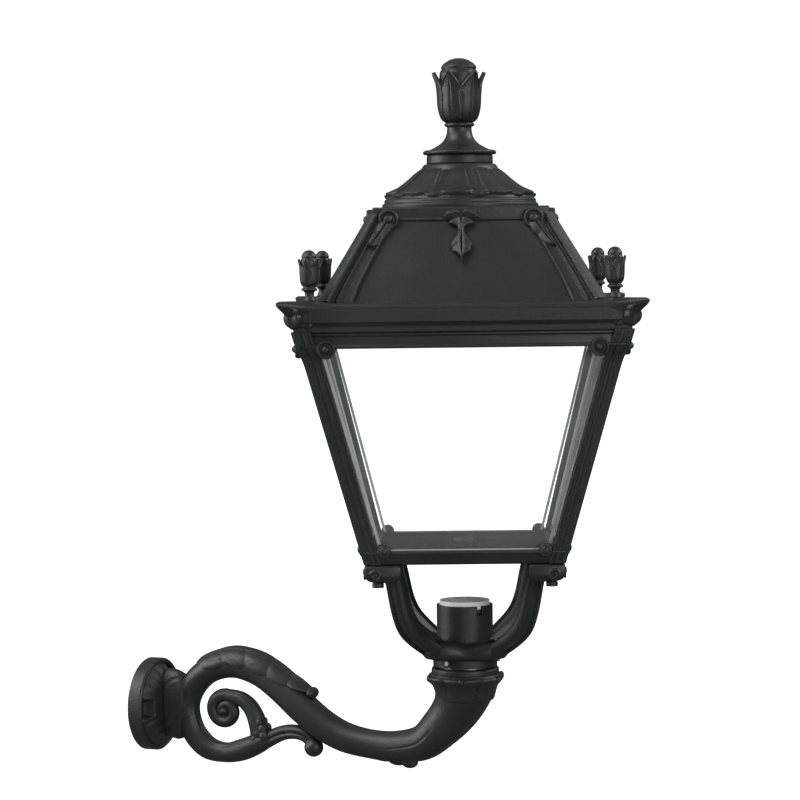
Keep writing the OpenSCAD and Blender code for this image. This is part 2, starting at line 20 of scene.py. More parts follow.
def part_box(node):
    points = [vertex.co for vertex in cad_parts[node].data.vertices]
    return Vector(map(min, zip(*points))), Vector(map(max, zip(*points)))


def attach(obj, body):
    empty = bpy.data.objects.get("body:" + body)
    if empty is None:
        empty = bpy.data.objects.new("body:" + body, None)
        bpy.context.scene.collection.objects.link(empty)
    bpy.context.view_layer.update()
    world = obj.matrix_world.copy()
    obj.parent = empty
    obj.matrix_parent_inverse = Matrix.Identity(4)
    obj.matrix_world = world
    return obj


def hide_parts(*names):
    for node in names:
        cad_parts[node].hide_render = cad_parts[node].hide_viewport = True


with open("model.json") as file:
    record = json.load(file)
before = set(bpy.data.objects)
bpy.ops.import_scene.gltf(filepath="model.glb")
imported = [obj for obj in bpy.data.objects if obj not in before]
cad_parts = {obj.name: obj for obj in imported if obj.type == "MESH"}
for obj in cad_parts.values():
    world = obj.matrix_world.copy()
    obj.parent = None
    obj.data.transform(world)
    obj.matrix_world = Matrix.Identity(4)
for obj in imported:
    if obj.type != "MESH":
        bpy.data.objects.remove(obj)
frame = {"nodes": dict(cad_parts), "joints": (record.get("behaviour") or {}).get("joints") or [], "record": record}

LOG = logging.getLogger("lantern")
Array = np.ndarray
Place = Callable[[Array, Array, Array], Array]
Outline = Sequence[tuple[float, float]]
BLACK, WHITE = (0, 0, 0, 1), (1, 1, 1, 1)
QUARTER = math.pi / 2
TURN = 2 * math.pi
# millimetres in a metre, and the lengths in metres under which points and slivers are merged
MM = 1000
WELD, SLIVER = 2e-6, 1e-6


class Slot(Enum):
    """Material slots of the record."""

    CASTING = "casting"
    STEEL = "steel"
    RUBBER = "rubber"
    GLAZING_STRIP = "glazing_strip"
    GLAZING = "glazing"
    WHITE_PLASTIC = "white_plastic"
    TRAY_METAL = "tray_metal"
    LENS = "lens"


class Rider(Enum):
    """Bodies that a piece can ride on."""

    BRACKET = "bracket"
    LANTERN = "lantern"
    ROOF = "roof"


class Cut(Enum):
    """Outline that a cast leaf is cut to."""

    ACANTHUS = "acanthus"
    DOME_PETAL = "dome petal"
    TULIP = "tulip"
    PENDANT = "pendant"


# ---------- shader maths ----------


class Sock:
    """A shader socket that can be used in a Python expression."""

    def __init__(self, shader: "Shader", socket: bpy.types.NodeSocket) -> None:
        """Keeps the socket and the shader it belongs to."""
        self.shader, self.socket = shader, socket

    def _maths(self, operation: str, *values: object) -> "Sock":
        """Adds a Math node with these values."""
        return self.shader.node("ShaderNodeMath", {"operation": operation}, dict(enumerate(values)))

    def __add__(self, other: object) -> "Sock":
        """Sum."""
        return self._maths("ADD", self, other)

    __radd__ = __add__

    def __mul__(self, other: object) -> "Sock":
        """Product."""
        return self._maths("MULTIPLY", self, other)

    __rmul__ = __mul__

    def __sub__(self, other: object) -> "Sock":
        """Difference."""
        return self._maths("SUBTRACT", self, other)

    def __rsub__(self, other: object) -> "Sock":
        """Difference, reflected."""
        return self._maths("SUBTRACT", other, self)

    def clamp(self) -> "Sock":
        """Value kept from 0 to 1."""
        return self.shader.node("ShaderNodeClamp", {}, {"Value": self})


class Shader:
    """A node material that is being written."""

    def __init__(self, name: str) -> None:
        """Starts a material that holds only its output.

        Args:
            name: name of the material.
        """
        self.material = bpy.data.materials.new(name)
        self.material.use_nodes = True
        self.tree = self.material.node_tree
        self.tree.nodes.clear()
        self.place = self.node("ShaderNodeTexCoord", {}, {}, "Object")

    def node(self, kind: str, settings: dict, values: dict, output: object = 0) -> Sock:
        """Adds a node.

        Args:
            kind: type of the node.
            settings: attributes of the node.
            values: values or links of its input sockets, by name or number.
            output: name or number of the output that is wanted.

        Returns:
            That output.
        """
        made = self.tree.nodes.new(kind)
        for key, value in settings.items():
            setattr(made, key, value)
        for key, value in values.items():
            if isinstance(value, Sock):
                self.tree.links.new(value.socket, made.inputs[key])
            else:
                made.inputs[key].default_value = value
        return Sock(self, made.outputs[output])

    def noise(self, scale: float, detail: float = 3.0, rough: float = 0.5) -> Sock:
        """Fractal noise over the object, as a number.

        Args:
            scale: waves to the metre.
            detail: octaves.
            rough: share that each octave keeps.

        Returns:
            The noise, about 0.5.
        """
        return self.node("ShaderNodeTexNoise", {}, {"Vector": self.place, "Scale": scale,
                         "Detail": detail, "Roughness": rough})

    def ramp(self, value: Sock, low: float, high: float) -> Sock:
        """Value as 0 at low, 1 at high, smooth between."""
        return self.node("ShaderNodeMapRange", {"interpolation_type": "SMOOTHSTEP"},
                         {"Value": value, "From Min": low, "From Max": high})

    def mix(self, factor: Sock, first: tuple, second: object) -> Sock:
        """Colour between two others."""
        return self.node("ShaderNodeMix", {"data_type": "RGBA"},
                         {"Factor": factor, 6: first, 7: second}, 2)

    def edge(self, radius: float) -> Sock:
        """How sharply the surface turns, from 0 on the flat.

        Args:
            radius: how far the turn is looked for, in metres.

        Returns:
            The sharpness.
        """
        normal = self.node("ShaderNodeNewGeometry", {}, {}, "Normal")
        eased = self.node("ShaderNodeBevel", {"samples": 4}, {"Radius": radius})
        dot = self.node("ShaderNodeVectorMath", {"operation": "DOT_PRODUCT"},
                        {0: normal, 1: eased}, "Value")
        return 1.0 - dot

    def relief(self, height: Sock, depth: float, easing: float = 0.0) -> Sock:
        """Normal of the surface with a height pattern on it.

        Args:
            height: the pattern.
            depth: how deep it is, in metres.
            easing: radius that sharp edges are eased with, in metres.

        Returns:
            The normal.
        """
        values = {"Height": height, "Distance": depth, "Strength": 1.0}
        if easing:
            values["Normal"] = self.node("ShaderNodeBevel", {"samples": 4}, {"Radius": easing})
        return self.node("ShaderNodeBump", {}, values)

    def surface(self, fixed: dict, varying: dict) -> bpy.types.Material:
        """Ends the material in a Principled shader.

        Args:
            fixed: constant sockets.
            varying: linked sockets.

        Returns:
            The material.
        """
        shade = self.node("ShaderNodeBsdfPrincipled", {}, {**fixed, **varying})
        end = self.tree.nodes.new("ShaderNodeOutputMaterial")
        self.tree.links.new(shade.socket, end.inputs["Surface"])
        return self.material


# ---------- finishes ----------


@dataclass(frozen=True)
class PaintedCasting:
    """Satin charcoal paint over sand-cast aluminium, rubbed paler on its raised edges."""

    name: str = "painted_casting"
    slot: Slot = Slot.CASTING
    deep: tuple = (0.0100, 0.0130, 0.0100, 1)
    worn: tuple = (0.05, 0.053, 0.051, 1)
    gloss: float = 0.33
    shine: float = 0.42
    grain: float = 0.00045

    def material(self) -> bpy.types.Material:
        """Writes the material.

        Returns:
            The material.
        """
        s = Shader(self.name)
        cloud = s.noise(9.0, 4.0)
        fine = s.noise(260.0, 2.0)
        speck = s.noise(900.0, 2.0)
        wear = (s.ramp(s.edge(0.0022), 0.02, 0.3) * s.ramp(fine, 0.3, 0.62)).clamp()
        dust = s.ramp(cloud, 0.42, 0.7) * 0.42
        tone = s.mix(dust, self.deep, (0.026, 0.029, 0.026, 1))
        base = s.mix(wear * 0.75, BLACK, self.worn)
        base = s.node("ShaderNodeMix", {"data_type": "RGBA", "blend_type": "ADD"},
                      {"Factor": 1.0, 6: tone, 7: base}, 2)
        rough = self.gloss + cloud * 0.16 + fine * 0.1 - wear * 0.08
        skin = fine * 0.6 + speck * 0.4
        return s.surface({"Specular IOR Level": self.shine},
                         {"Base Color": base, "Roughness": rough,
                          "Normal": s.relief(skin, self.grain, 0.0009)})


@dataclass(frozen=True)
class ZincSteel:
    """Zinc-plated steel with faint turning marks."""

    name: str = "zinc_steel"
    slot: Slot = Slot.STEEL

    def material(self) -> bpy.types.Material:
        """Writes the material.

        Returns:
            The material.
        """
        s = Shader(self.name)
        cloud, fine = s.noise(120.0, 4.0), s.noise(1400.0, 2.0)
        base = s.mix(s.ramp(cloud, 0.35, 0.7), (0.72, 0.72, 0.7, 1), (0.5, 0.5, 0.47, 1))
        return s.surface({"Metallic": 1.0},
                         {"Base Color": base, "Roughness": 0.24 + cloud * 0.2 + fine * 0.1,
                          "Normal": s.relief(fine, 0.0001, 0.0004)})


@dataclass(frozen=True)
class MouldedRubber:
    """Moulded rubber or silicone, dusty in random patches."""

    name: str = "black_rubber"
    slot: Slot = Slot.RUBBER
    tone: tuple = (0.016, 0.016, 0.016, 1)
    dusty: tuple = (0.035, 0.034, 0.032, 1)

    def material(self) -> bpy.types.Material:
        """Writes the material.

        Returns:
            The material.
        """
        s = Shader(self.name)
        cloud, fine = s.noise(40.0, 4.0), s.noise(1100.0, 3.0)
        base = s.mix(s.ramp(cloud, 0.4, 0.8), self.tone, self.dusty)
        return s.surface({"Specular IOR Level": 0.35},
                         {"Base Color": base, "Roughness": 0.62 + fine * 0.25,
                          "Normal": s.relief(fine, 0.0002)})


@dataclass(frozen=True)
class ClearPane:
    """Flat clear sheet that turns to a mirror at a glancing look, with a film of dust."""

    name: str = "clear_pane"
    slot: Slot = Slot.GLAZING

    def material(self) -> bpy.types.Material:
        """Writes the material.

        Returns:
            The material.
        """
        s = Shader(self.name)
        film = s.ramp(s.noise(14.0, 5.0, 0.6), 0.4, 0.8)
        glance = s.node("ShaderNodeLayerWeight", {}, {"Blend": 0.22}, "Fresnel")
        alpha = (0.05 + film * 0.035 + glance * 0.5).clamp()
        base = s.mix(film, (0.93, 0.97, 0.96, 1), (0.85, 0.88, 0.86, 1))
        return s.surface({"Specular IOR Level": 0.9, "IOR": 1.5},
                         {"Base Color": base, "Alpha": alpha, "Roughness": 0.03 + film * 0.05})


@dataclass(frozen=True)
class MouldedPlastic:
    """White moulded plastic with a fine spark-eroded grain."""

    name: str = "moulded_white"
    slot: Slot = Slot.WHITE_PLASTIC
    tone: tuple = (0.8, 0.8, 0.77, 1)
    aged: tuple = (0.68, 0.67, 0.62, 1)
    rough: float = 0.42

    def material(self) -> bpy.types.Material:
        """Writes the material.

        Returns:
            The material.
        """
        s = Shader(self.name)
        cloud, fine = s.noise(35.0, 3.0), s.noise(1600.0, 2.0)
        base = s.mix(s.ramp(cloud, 0.45, 0.8), self.tone, self.aged)
        return s.surface({}, {"Base Color": base, "Roughness": self.rough + fine * 0.14,
                              "Normal": s.relief(fine, 0.00012, 0.0006)})


@dataclass(frozen=True)
class CoatedSheet:
    """Pale powder-coated sheet with a light orange peel."""

    name: str = "coated_sheet"
    slot: Slot = Slot.TRAY_METAL

    def material(self) -> bpy.types.Material:
        """Writes the material.

        Returns:
            The material.
        """
        s = Shader(self.name)
        cloud, peel = s.noise(20.0, 3.0), s.noise(520.0, 2.0)
        base = s.mix(s.ramp(cloud, 0.4, 0.8), (0.66, 0.66, 0.64, 1), (0.56, 0.56, 0.53, 1))
        return s.surface({}, {"Base Color": base, "Roughness": 0.38 + peel * 0.14,
                              "Normal": s.relief(peel, 0.0003, 0.0005)})


# ---------- shapes ----------


def shifted(x: float = 0, y: float = 0, z: float = 0) -> Matrix:
    """Move by a length on each axis."""
    return Matrix.Translation((x, y, z))


def turned(angle: float, axis: str) -> Matrix:
    """Turn by an angle in radians round an axis."""
    return Matrix.Rotation(angle, 4, axis)


@dataclass(frozen=True)
class Datum:
    """Where the lantern stands, read from the frame, in millimetres and radians."""

    reach: float
    turn: float

    @classmethod
    def read(cls) -> "Datum":
        """Reads the spigot's axis and the turn of the roof's hinge.

        Returns:
            The datum.
        """
        low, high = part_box("spigot")
        axis = next(j for j in frame["joints"] if j["name"] == "roof_hinge")["axis"]
        return cls((low.x + high.x) * MM / 2, math.atan2(-axis[1], -axis[0]))

    def half(self, node: str) -> float:
        """Half the width of a square node, before it is turned."""
        low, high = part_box(node)
        return (high.x - low.x) * MM / 2 / (math.cos(self.turn) + math.sin(self.turn))

    def low(self, node: str) -> float:
        """Lowest height of a node."""
        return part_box(node)[0].z * MM

    def high(self, node: str) -> float:
        """Greatest height of a node."""
        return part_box(node)[1].z * MM

    def matrix(self) -> Matrix:
        """Stands a shape drawn on the lantern's own axis in the row's frame."""
        return shifted(self.reach / MM) @ turned(self.turn, "Z")


def smooth_path(points: Sequence[Sequence[float]], steps: int) -> Array:
    """A smooth curve through points, the same one as the frame's bars follow.

    Args:
        points: rows of numbers, such as x, z and radius.
        steps: pieces that each span is cut into.

    Returns:
        The rows along the curve.
    """
    p = np.array(points, float)
    n = len(p) - 1
    t = np.linspace(0, 1, steps, endpoint=False)[:, None]
    spans = []
    for i in range(n):
        a, b, c, d = p[max(i - 1, 0)], p[i], p[i + 1], p[min(i + 2, n)]
        spans.append(0.5 * (2 * b + (c - a) * t + (2 * a - 5 * b + 4 * c - d) * t ** 2
                            + (3 * b - a - 3 * c + d) * t ** 3))
    return np.vstack([*spans, p[n:]])


def eased(outline: Outline, radius: float, closed: bool = True, steps: int = 3) -> Array:
    """An outline with its corners rounded.

    Args:
        outline: corner points.
        radius: how far from each corner the rounding starts.
        closed: whether the last point joins the first.
        steps: pieces of each rounded corner.

    Returns:
        The rounded outline.
    """
    p = np.array(outline, float)
    n = len(p)
    made = []
    for i in range(n):
        if not closed and i in (0, n - 1):
            made.append(p[i])
            continue
        into, out = p[i - 1] - p[i], p[(i + 1) % n] - p[i]
        a, b = np.linalg.norm(into), np.linalg.norm(out)
        start, end = p[i] + into / a * min(radius, a * 0.45), p[i] + out / b * min(radius, b * 0.45)
        for t in np.linspace(0, 1, steps + 1):
            made.append((1 - t) ** 2 * start + 2 * t * (1 - t) * p[i] + t * t * end)
    return np.array(made)


def ease(x: Array | float, low: float, high: float) -> Array:
    """Smooth step from 0 at low to 1 at high."""
    t = np.clip((np.asarray(x, float) - low) / (high - low), 0, 1)
    return t * t * (3 - 2 * t)


def bump(x: Array, at: float, width: float) -> Array:
    """A bell of height 1 at a place."""
    return np.exp(-((np.asarray(x, float) - at) / width) ** 2)


def aside(a: Array) -> Array:
    """How far an angle round a bar is from its left side, either way."""
    return np.abs((a + math.pi) % TURN - math.pi)


def lengths(rows: Array) -> Array:
    """Length along a path up to each of its rows."""
    return np.concatenate([[0], np.cumsum(np.hypot(*np.diff(rows[:, :2], axis=0).T))])


def headings(rows: Array) -> Array:
    """Unit direction of a path at each of its rows."""
    head = np.gradient(rows[:, :2], axis=0)
    return head / np.linalg.norm(head, axis=1)[:, None]


def circle(sides: int) -> Array:
    """Angles spaced evenly round a full turn."""
    return np.linspace(0, TURN, sides, endpoint=False)


class Form:
    """Points and faces of a piece that is being built, in millimetres."""

    def __init__(self) -> None:
        """Starts with nothing."""
        self.points: list[Array] = []
        self.faces: list[tuple[int, ...]] = []
        self.size = 0

    def add(self, points: Array, faces: Sequence[Sequence[int]]) -> "Form":
        """Adds points and the faces between them.

        Args:
            points: rows of x, y and z.
            faces: numbers of the points round each face.

        Returns:
            The form.
        """
        made = np.asarray(points, float).reshape(-1, 3)
        self.points.append(made)
        self.faces += [tuple(i + self.size for i in f) for f in faces]
        self.size += len(made)
        return self

    def grid(self, rows: Array, capped: bool = True, looped: bool = False) -> "Form":
        """Adds a skin over closed rows of points.

        Args:
            rows: rows of the same number of points, shaped (rows, points, 3).
            capped: whether the first and last rows are closed with a face.
            looped: whether the last row joins the first.

        Returns:
            The form.
        """
        m, n = rows.shape[:2]
        spans = m if looped else m - 1
        faces = [(i * n + k, i * n + (k + 1) % n, (i + 1) % m * n + (k + 1) % n, (i + 1) % m * n + k)
                 for i in range(spans) for k in range(n)]
        if capped and not looped:
            faces += [tuple(range(n - 1, -1, -1)), tuple((m - 1) * n + k for k in range(n))]
        return self.add(rows, faces)

    def lathe(self, profile: Outline, sides: int = 96, relief: Callable | None = None,
              looped: bool = False) -> "Form":
        """Adds a turned shape on the Z axis.

        Args:
            profile: radius and height of each point.
            sides: points round the axis.
            relief: gives the extra radius from the angle and the height.
            looped: whether the profile is a closed outline that stays off the axis.

        Returns:
            The form.
        """
        p = np.array(profile, float)
        a = circle(sides)[None, :]
        z = np.repeat(p[:, 1:2], sides, 1)
        r = np.repeat(p[:, 0:1], sides, 1)
        if relief:
            r = np.maximum(r + relief(a, z) * (r > 0.01), 0)
        return self.grid(np.stack([r * np.cos(a), r * np.sin(a), z], -1), looped=looped)

    def square(self, profile: Outline, corner: float = 1.2) -> "Form":
        """Adds a mitred square ring.

        Args:
            profile: closed outline of half width and height.
            corner: how far each vertical corner is cut back.

        Returns:
            The form.
        """
        rows = []
        for h, z in profile:
            c = min(corner, abs(h) * 0.4)
            ring = [(h, -h + c * 2), (h, h - c * 2), (h - c * 0.6, h - c * 0.6), (h - c * 2, h),
                    (-h + c * 2, h), (-h + c * 0.6, h - c * 0.6), (-h, h - c * 2),
                    (-h, -h + c * 2), (-h + c * 0.6, -h + c * 0.6), (-h + c * 2, -h),
                    (h - c * 2, -h), (h - c * 0.6, -h + c * 0.6)]
            rows.append([(x, y, z) for x, y in ring])
        return self.grid(np.array(rows, float), looped=True)

    def ball(self, centre: Sequence[float], radius: float, stretch: Sequence[float] = (1, 1, 1)) -> "Form":
        """Adds a ball, or a boss stretched from one.

        Args:
            centre: its middle.
            radius: its radius.
            stretch: how much longer it is on each axis.

        Returns:
            The form.
        """
        t = np.linspace(0, math.pi, 17)[:, None]
        a = circle(28)[None, :]
        unit = np.stack([np.sin(t) * np.cos(a), np.sin(t) * np.sin(a), np.cos(t) + 0 * a], -1)
        return self.grid(unit * radius * np.array(stretch) + np.array(centre))

    def cloned(self, matrix: Matrix) -> "Form":
        """Copies the whole form.

        Args:
            matrix: moves the copy, in millimetres.

        Returns:
            The copy.
        """
        m = np.array(matrix)
        made = Form()
        made.points = [p @ m[:3, :3].T + m[:3, 3] for p in self.points]
        made.faces, made.size = list(self.faces), self.size
        return made

    def join(self, *others: "Form") -> "Form":
        """Adds other forms to this one.

        Args:
            *others: the forms.

        Returns:
            The form.
        """
        for other in others:
            self.add(np.vstack(other.points), other.faces)
        return self

    def mesh(self, name: str) -> bpy.types.Mesh:
        """Turns the form into a mesh in metres, with its faces outwards.

        Args:
            name: name of the mesh.

        Returns:
            The mesh.
        """
        made = bpy.data.meshes.new(name)
        made.from_pydata((np.vstack(self.points) / MM).tolist(), [], self.faces)
        work = bmesh.new()
        work.from_mesh(made)
        bmesh.ops.remove_doubles(work, verts=work.verts, dist=WELD)
        bmesh.ops.dissolve_degenerate(work, edges=work.edges, dist=SLIVER)
        bmesh.ops.recalc_face_normals(work, faces=work.faces)
        work.to_mesh(made)
        work.free()
        return made


@dataclass(frozen=True)
class Leaf:
    """A cast leaf in relief: a closed sheet with a midrib, veins, a rim and a curled tip."""

    length: float
    width: float
    cut: Cut = Cut.ACANTHUS
    lobes: int = 4
    notch: float = 0.4
    body: float = 2.0
    vein: float = 1.0
    rim: float = 0.0
    curl: float = 0.0
    sink: float = 2.0
    along: int = 56
    across: int = 17

    def half(self, u: Array) -> Array:
        """Half width along the leaf.

        Args:
            u: places along it, from 0 at the foot to 1 at the tip.

        Returns:
            The half width at each, as a share of its greatest.
        """
        if self.cut is Cut.DOME_PETAL:
            return (0.36 + 0.64 * u) * np.sqrt(np.clip(1 - (np.clip(u - 0.8, 0, 1) / 0.2) ** 2, 0.002, 1))
        if self.cut is Cut.TULIP:
            grown = 0.66 + 0.34 * np.sin(np.clip(u / 0.55, 0, 1) * math.pi / 2)
            return grown * (1 - 0.96 * np.clip((u - 0.5) / 0.5, 0, 1) ** 1.5)
        if self.cut is Cut.PENDANT:
            splay = 1.0 * bump(u, 0.0, 0.16)
            bud = 0.72 * bump(u, 0.62, 0.2)
            return np.clip(splay + bud + 0.16, 0, 1) * (1 - 0.95 * ease(u, 0.72, 1.0))
        return np.sqrt(np.clip(1 - u ** 2.4, 0.003, 1)) * (0.78 + 0.22 * np.sin(math.pi * u))

    def build(self, place: Place) -> Form:
        """Builds the leaf.

        Args:
            place: puts points at given lengths along, across and above the surface.

        Returns:
            The leaf as a form.
        """
        u = np.linspace(0, 1, self.along)[:, None]
        v = np.linspace(-1, 1, self.across)[None, :]
        away = np.abs(v)
        phase = np.abs(np.sin(math.pi * (u * self.lobes + 0.04))) if self.lobes else np.ones_like(u)
        lobe = phase ** 0.7
        half = self.half(u) * (1 - self.notch * (1 - lobe) * ease(u, -0.1, 0.12))
        x = self.length * u + 0.42 * self.width * half * away ** 1.6 * (1 - u) ** 0.5
        y = self.width * half * v
        height = self.body * np.sqrt(np.clip(1 - 0.96 * v ** 2, 0, 1))
        height = height + self.vein * (lobe - 0.55) * away ** 0.8
        height = height + self.vein * (0.9 * bump(away, 0.16, 0.09) - 1.1 * bump(v, 0, 0.06))
        height = height + self.rim * bump(away, 0.88, 0.1)
        height = np.maximum(height * ease(u, -0.05, 0.08), 0.25)
        lift = self.curl * ease(u, 0.6, 1.0) ** 1.6 + 0 * v
        floor = lift - self.sink + 0 * height
        top, under = place(x, y, height + lift), place(x, y, floor)
        return Form().grid(np.concatenate([top, under[:, ::-1]], 1))


@dataclass(frozen=True)
class Tube:
    """A round bar along a smooth path in the XZ plane, and the surface that leaves lie on."""

    points: tuple
    steps: int = 14
    depth: float = 1.0

    def path(self) -> tuple[Array, Array]:
        """The path as rows of x, z and radius, and the length along it."""
        rows = smooth_path(self.points, self.steps)
        return rows, lengths(rows)

    def length(self) -> float:
        """Length of the path."""
        return float(self.path()[1][-1])

    def at(self, s: Array | float, a: Array | float, h: Array | float) -> Array:
        """Points on the bar.

        Args:
            s: length along the path.
            a: angle round it, 0 on the left of its heading.
            h: height above its skin.

        Returns:
            The points.
        """
        rows, run = self.path()
        head = headings(rows)
        s, a, h = np.broadcast_arrays(s, a, h)
        x, z, r = (np.interp(s, run, rows[:, i]) for i in range(3))
        hx, hz = (np.interp(s, run, head[:, i]) for i in range(2))
        # a leaf's tip may pass the end of the path, and runs on straight there
        spare = s - np.clip(s, 0, run[-1])
        out = (r + h) * np.cos(a)
        return np.stack([x - hz * out + hx * spare, self.depth * (r + h) * np.sin(a),
                         z + hx * out + hz * spare], -1)

    def skin(self, relief: Callable, sides: int = 72, rows: int = 0) -> Form:
        """The bar with a relief on it.

        Args:
            relief: gives the height from the length along and the angle.
            sides: points round the bar.
            rows: rows along the bar, or 0 for those of its path.

        Returns:
            The form.
        """
        run = self.path()[1]
        s = (np.linspace(0, run[-1], rows) if rows else run)[:, None]
        a = circle(sides)[None, :]
        return Form().grid(self.at(s, a, relief(s, a)))

    def leaf(self, start: float, angle: float, direction: int = 1) -> Place:
        """Placing for a leaf that lies on the bar.

        Args:
            start: length along the path where its foot is.
            angle: angle of its midrib.
            direction: 1 with the path, -1 against it.

        Returns:
            The placing.
        """
        def place(x: Array, y: Array, h: Array) -> Array:
            """Lays lengths on the bar.

            Args:
                x: length along.
                y: length across.
                h: height above the surface.

            Returns:
                The points.
            """
            rows, run = self.path()
            s = start + direction * x
            r = np.interp(s, run, rows[:, 2])
            return self.at(s, angle + y / np.maximum(r, 4), h)
        return place


@dataclass(frozen=True)
class Turned:
    """A surface of revolution on the Z axis that petals lie on."""

    outline: tuple

    def petal(self, angle: float, direction: int = 1) -> Place:
        """Placing for a petal that lies on the surface.

        Args:
            angle: angle of its midrib round the axis.
            direction: 1 if its foot is at the start of the outline, -1 if at the end.

        Returns:
            The placing.
        """
        rows = smooth_path(self.outline, 10)
        if direction < 0:
            rows = rows[::-1]
        run, head = lengths(rows), headings(rows)

        def place(x: Array, y: Array, h: Array) -> Array:
            """Lays lengths on the surface.

            Args:
                x: length along.
                y: length across.
                h: height above the surface.

            Returns:
                The points.
            """
            r, z = np.interp(x, run, rows[:, 0]), np.interp(x, run, rows[:, 1])
            nr, nz = direction * np.interp(x, run, head[:, 1]), -direction * np.interp(x, run, head[:, 0])
            spare = x - np.clip(x, 0, run[-1])
            r = r + spare * head[-1, 0]
            z = z + spare * head[-1, 1]
            a = angle + y / np.maximum(r, 5)
            out = r + h * nr
            return np.stack([out * np.cos(a), out * np.sin(a), z + h * nz], -1)
        return place


def on_plane(origin: Sequence[float], along: Sequence[float], up: Sequence[float]) -> Place:
    """Placing for a leaf on a flat face.

    Args:
        origin: foot of the leaf.
        along: direction that it grows in.
        up: direction out of the face.

    Returns:
        The placing.
    """
    o = np.array(origin, float)
    u, n = (np.array(Vector(way).normalized()) for way in (along, up))
    v = np.cross(n, u)

    def place(x: Array, y: Array, h: Array) -> Array:
        """Lays lengths on the face.

        Args:
            x: length along.
            y: length across.
            h: height above the surface.

        Returns:
            The points.
        """
        x, y, h = np.broadcast_arrays(x, y, h)
        return o + x[..., None] * u + y[..., None] * v + h[..., None] * n
    return place


# ---------- geometry nodes ----------


class RingArray:
    """Geometry Nodes tree that repeats a shape round the Z axis."""

    def __init__(self) -> None:
        """Builds the tree with its named inputs."""
        tree = bpy.data.node_groups.new("ring_array", "GeometryNodeTree")
        face = tree.interface
        face.new_socket("Geometry", in_out="INPUT", socket_type="NodeSocketGeometry")
        self.count = face.new_socket("Count", in_out="INPUT", socket_type="NodeSocketInt").identifier
        self.step = face.new_socket("Step", in_out="INPUT", socket_type="NodeSocketFloat").identifier
        self.finish = face.new_socket("Finish", in_out="INPUT",
                                      socket_type="NodeSocketMaterial").identifier
        face.new_socket("Geometry", in_out="OUTPUT", socket_type="NodeSocketGeometry")
        new, link = tree.nodes.new, tree.links.new
        start, end = new("NodeGroupInput"), new("NodeGroupOutput")
        line, index = new("GeometryNodeMeshLine"), new("GeometryNodeInputIndex")
        angle, turn = new("ShaderNodeMath"), new("ShaderNodeCombineXYZ")
        put, real = new("GeometryNodeInstanceOnPoints"), new("GeometryNodeRealizeInstances")
        dress = new("GeometryNodeSetMaterial")
        angle.operation = "MULTIPLY"
        line.inputs["Offset"].default_value = (0, 0, 0)
        link(start.outputs["Count"], line.inputs["Count"])
        link(index.outputs[0], angle.inputs[0])
        link(start.outputs["Step"], angle.inputs[1])
        link(angle.outputs[0], turn.inputs["Z"])
        link(line.outputs[0], put.inputs["Points"])
        link(start.outputs["Geometry"], put.inputs["Instance"])
        link(turn.outputs[0], put.inputs["Rotation"])
        link(put.outputs[0], real.inputs[0])
        link(real.outputs[0], dress.inputs["Geometry"])
        link(start.outputs["Finish"], dress.inputs["Material"])
        link(dress.outputs[0], end.inputs[0])
        self.tree = tree

    def spread(self, obj: bpy.types.Object, count: int, finish: bpy.types.Material) -> None:
        """Repeats an object's mesh evenly round the Z axis, as one plain mesh.

        Args:
            obj: the object, whose mesh is replaced.
            count: how many there are in the full circle.
            finish: material of them all.
        """
        live = obj.modifiers.new("ring", "NODES")
        live.node_group = self.tree
        live[self.count] = count
        live[self.step] = TURN / count
        live[self.finish] = finish
        bpy.context.view_layer.update()
        graph = bpy.context.evaluated_depsgraph_get()
        made = bpy.data.meshes.new_from_object(obj.evaluated_get(graph))
        obj.modifiers.remove(live)
        obj.data = made


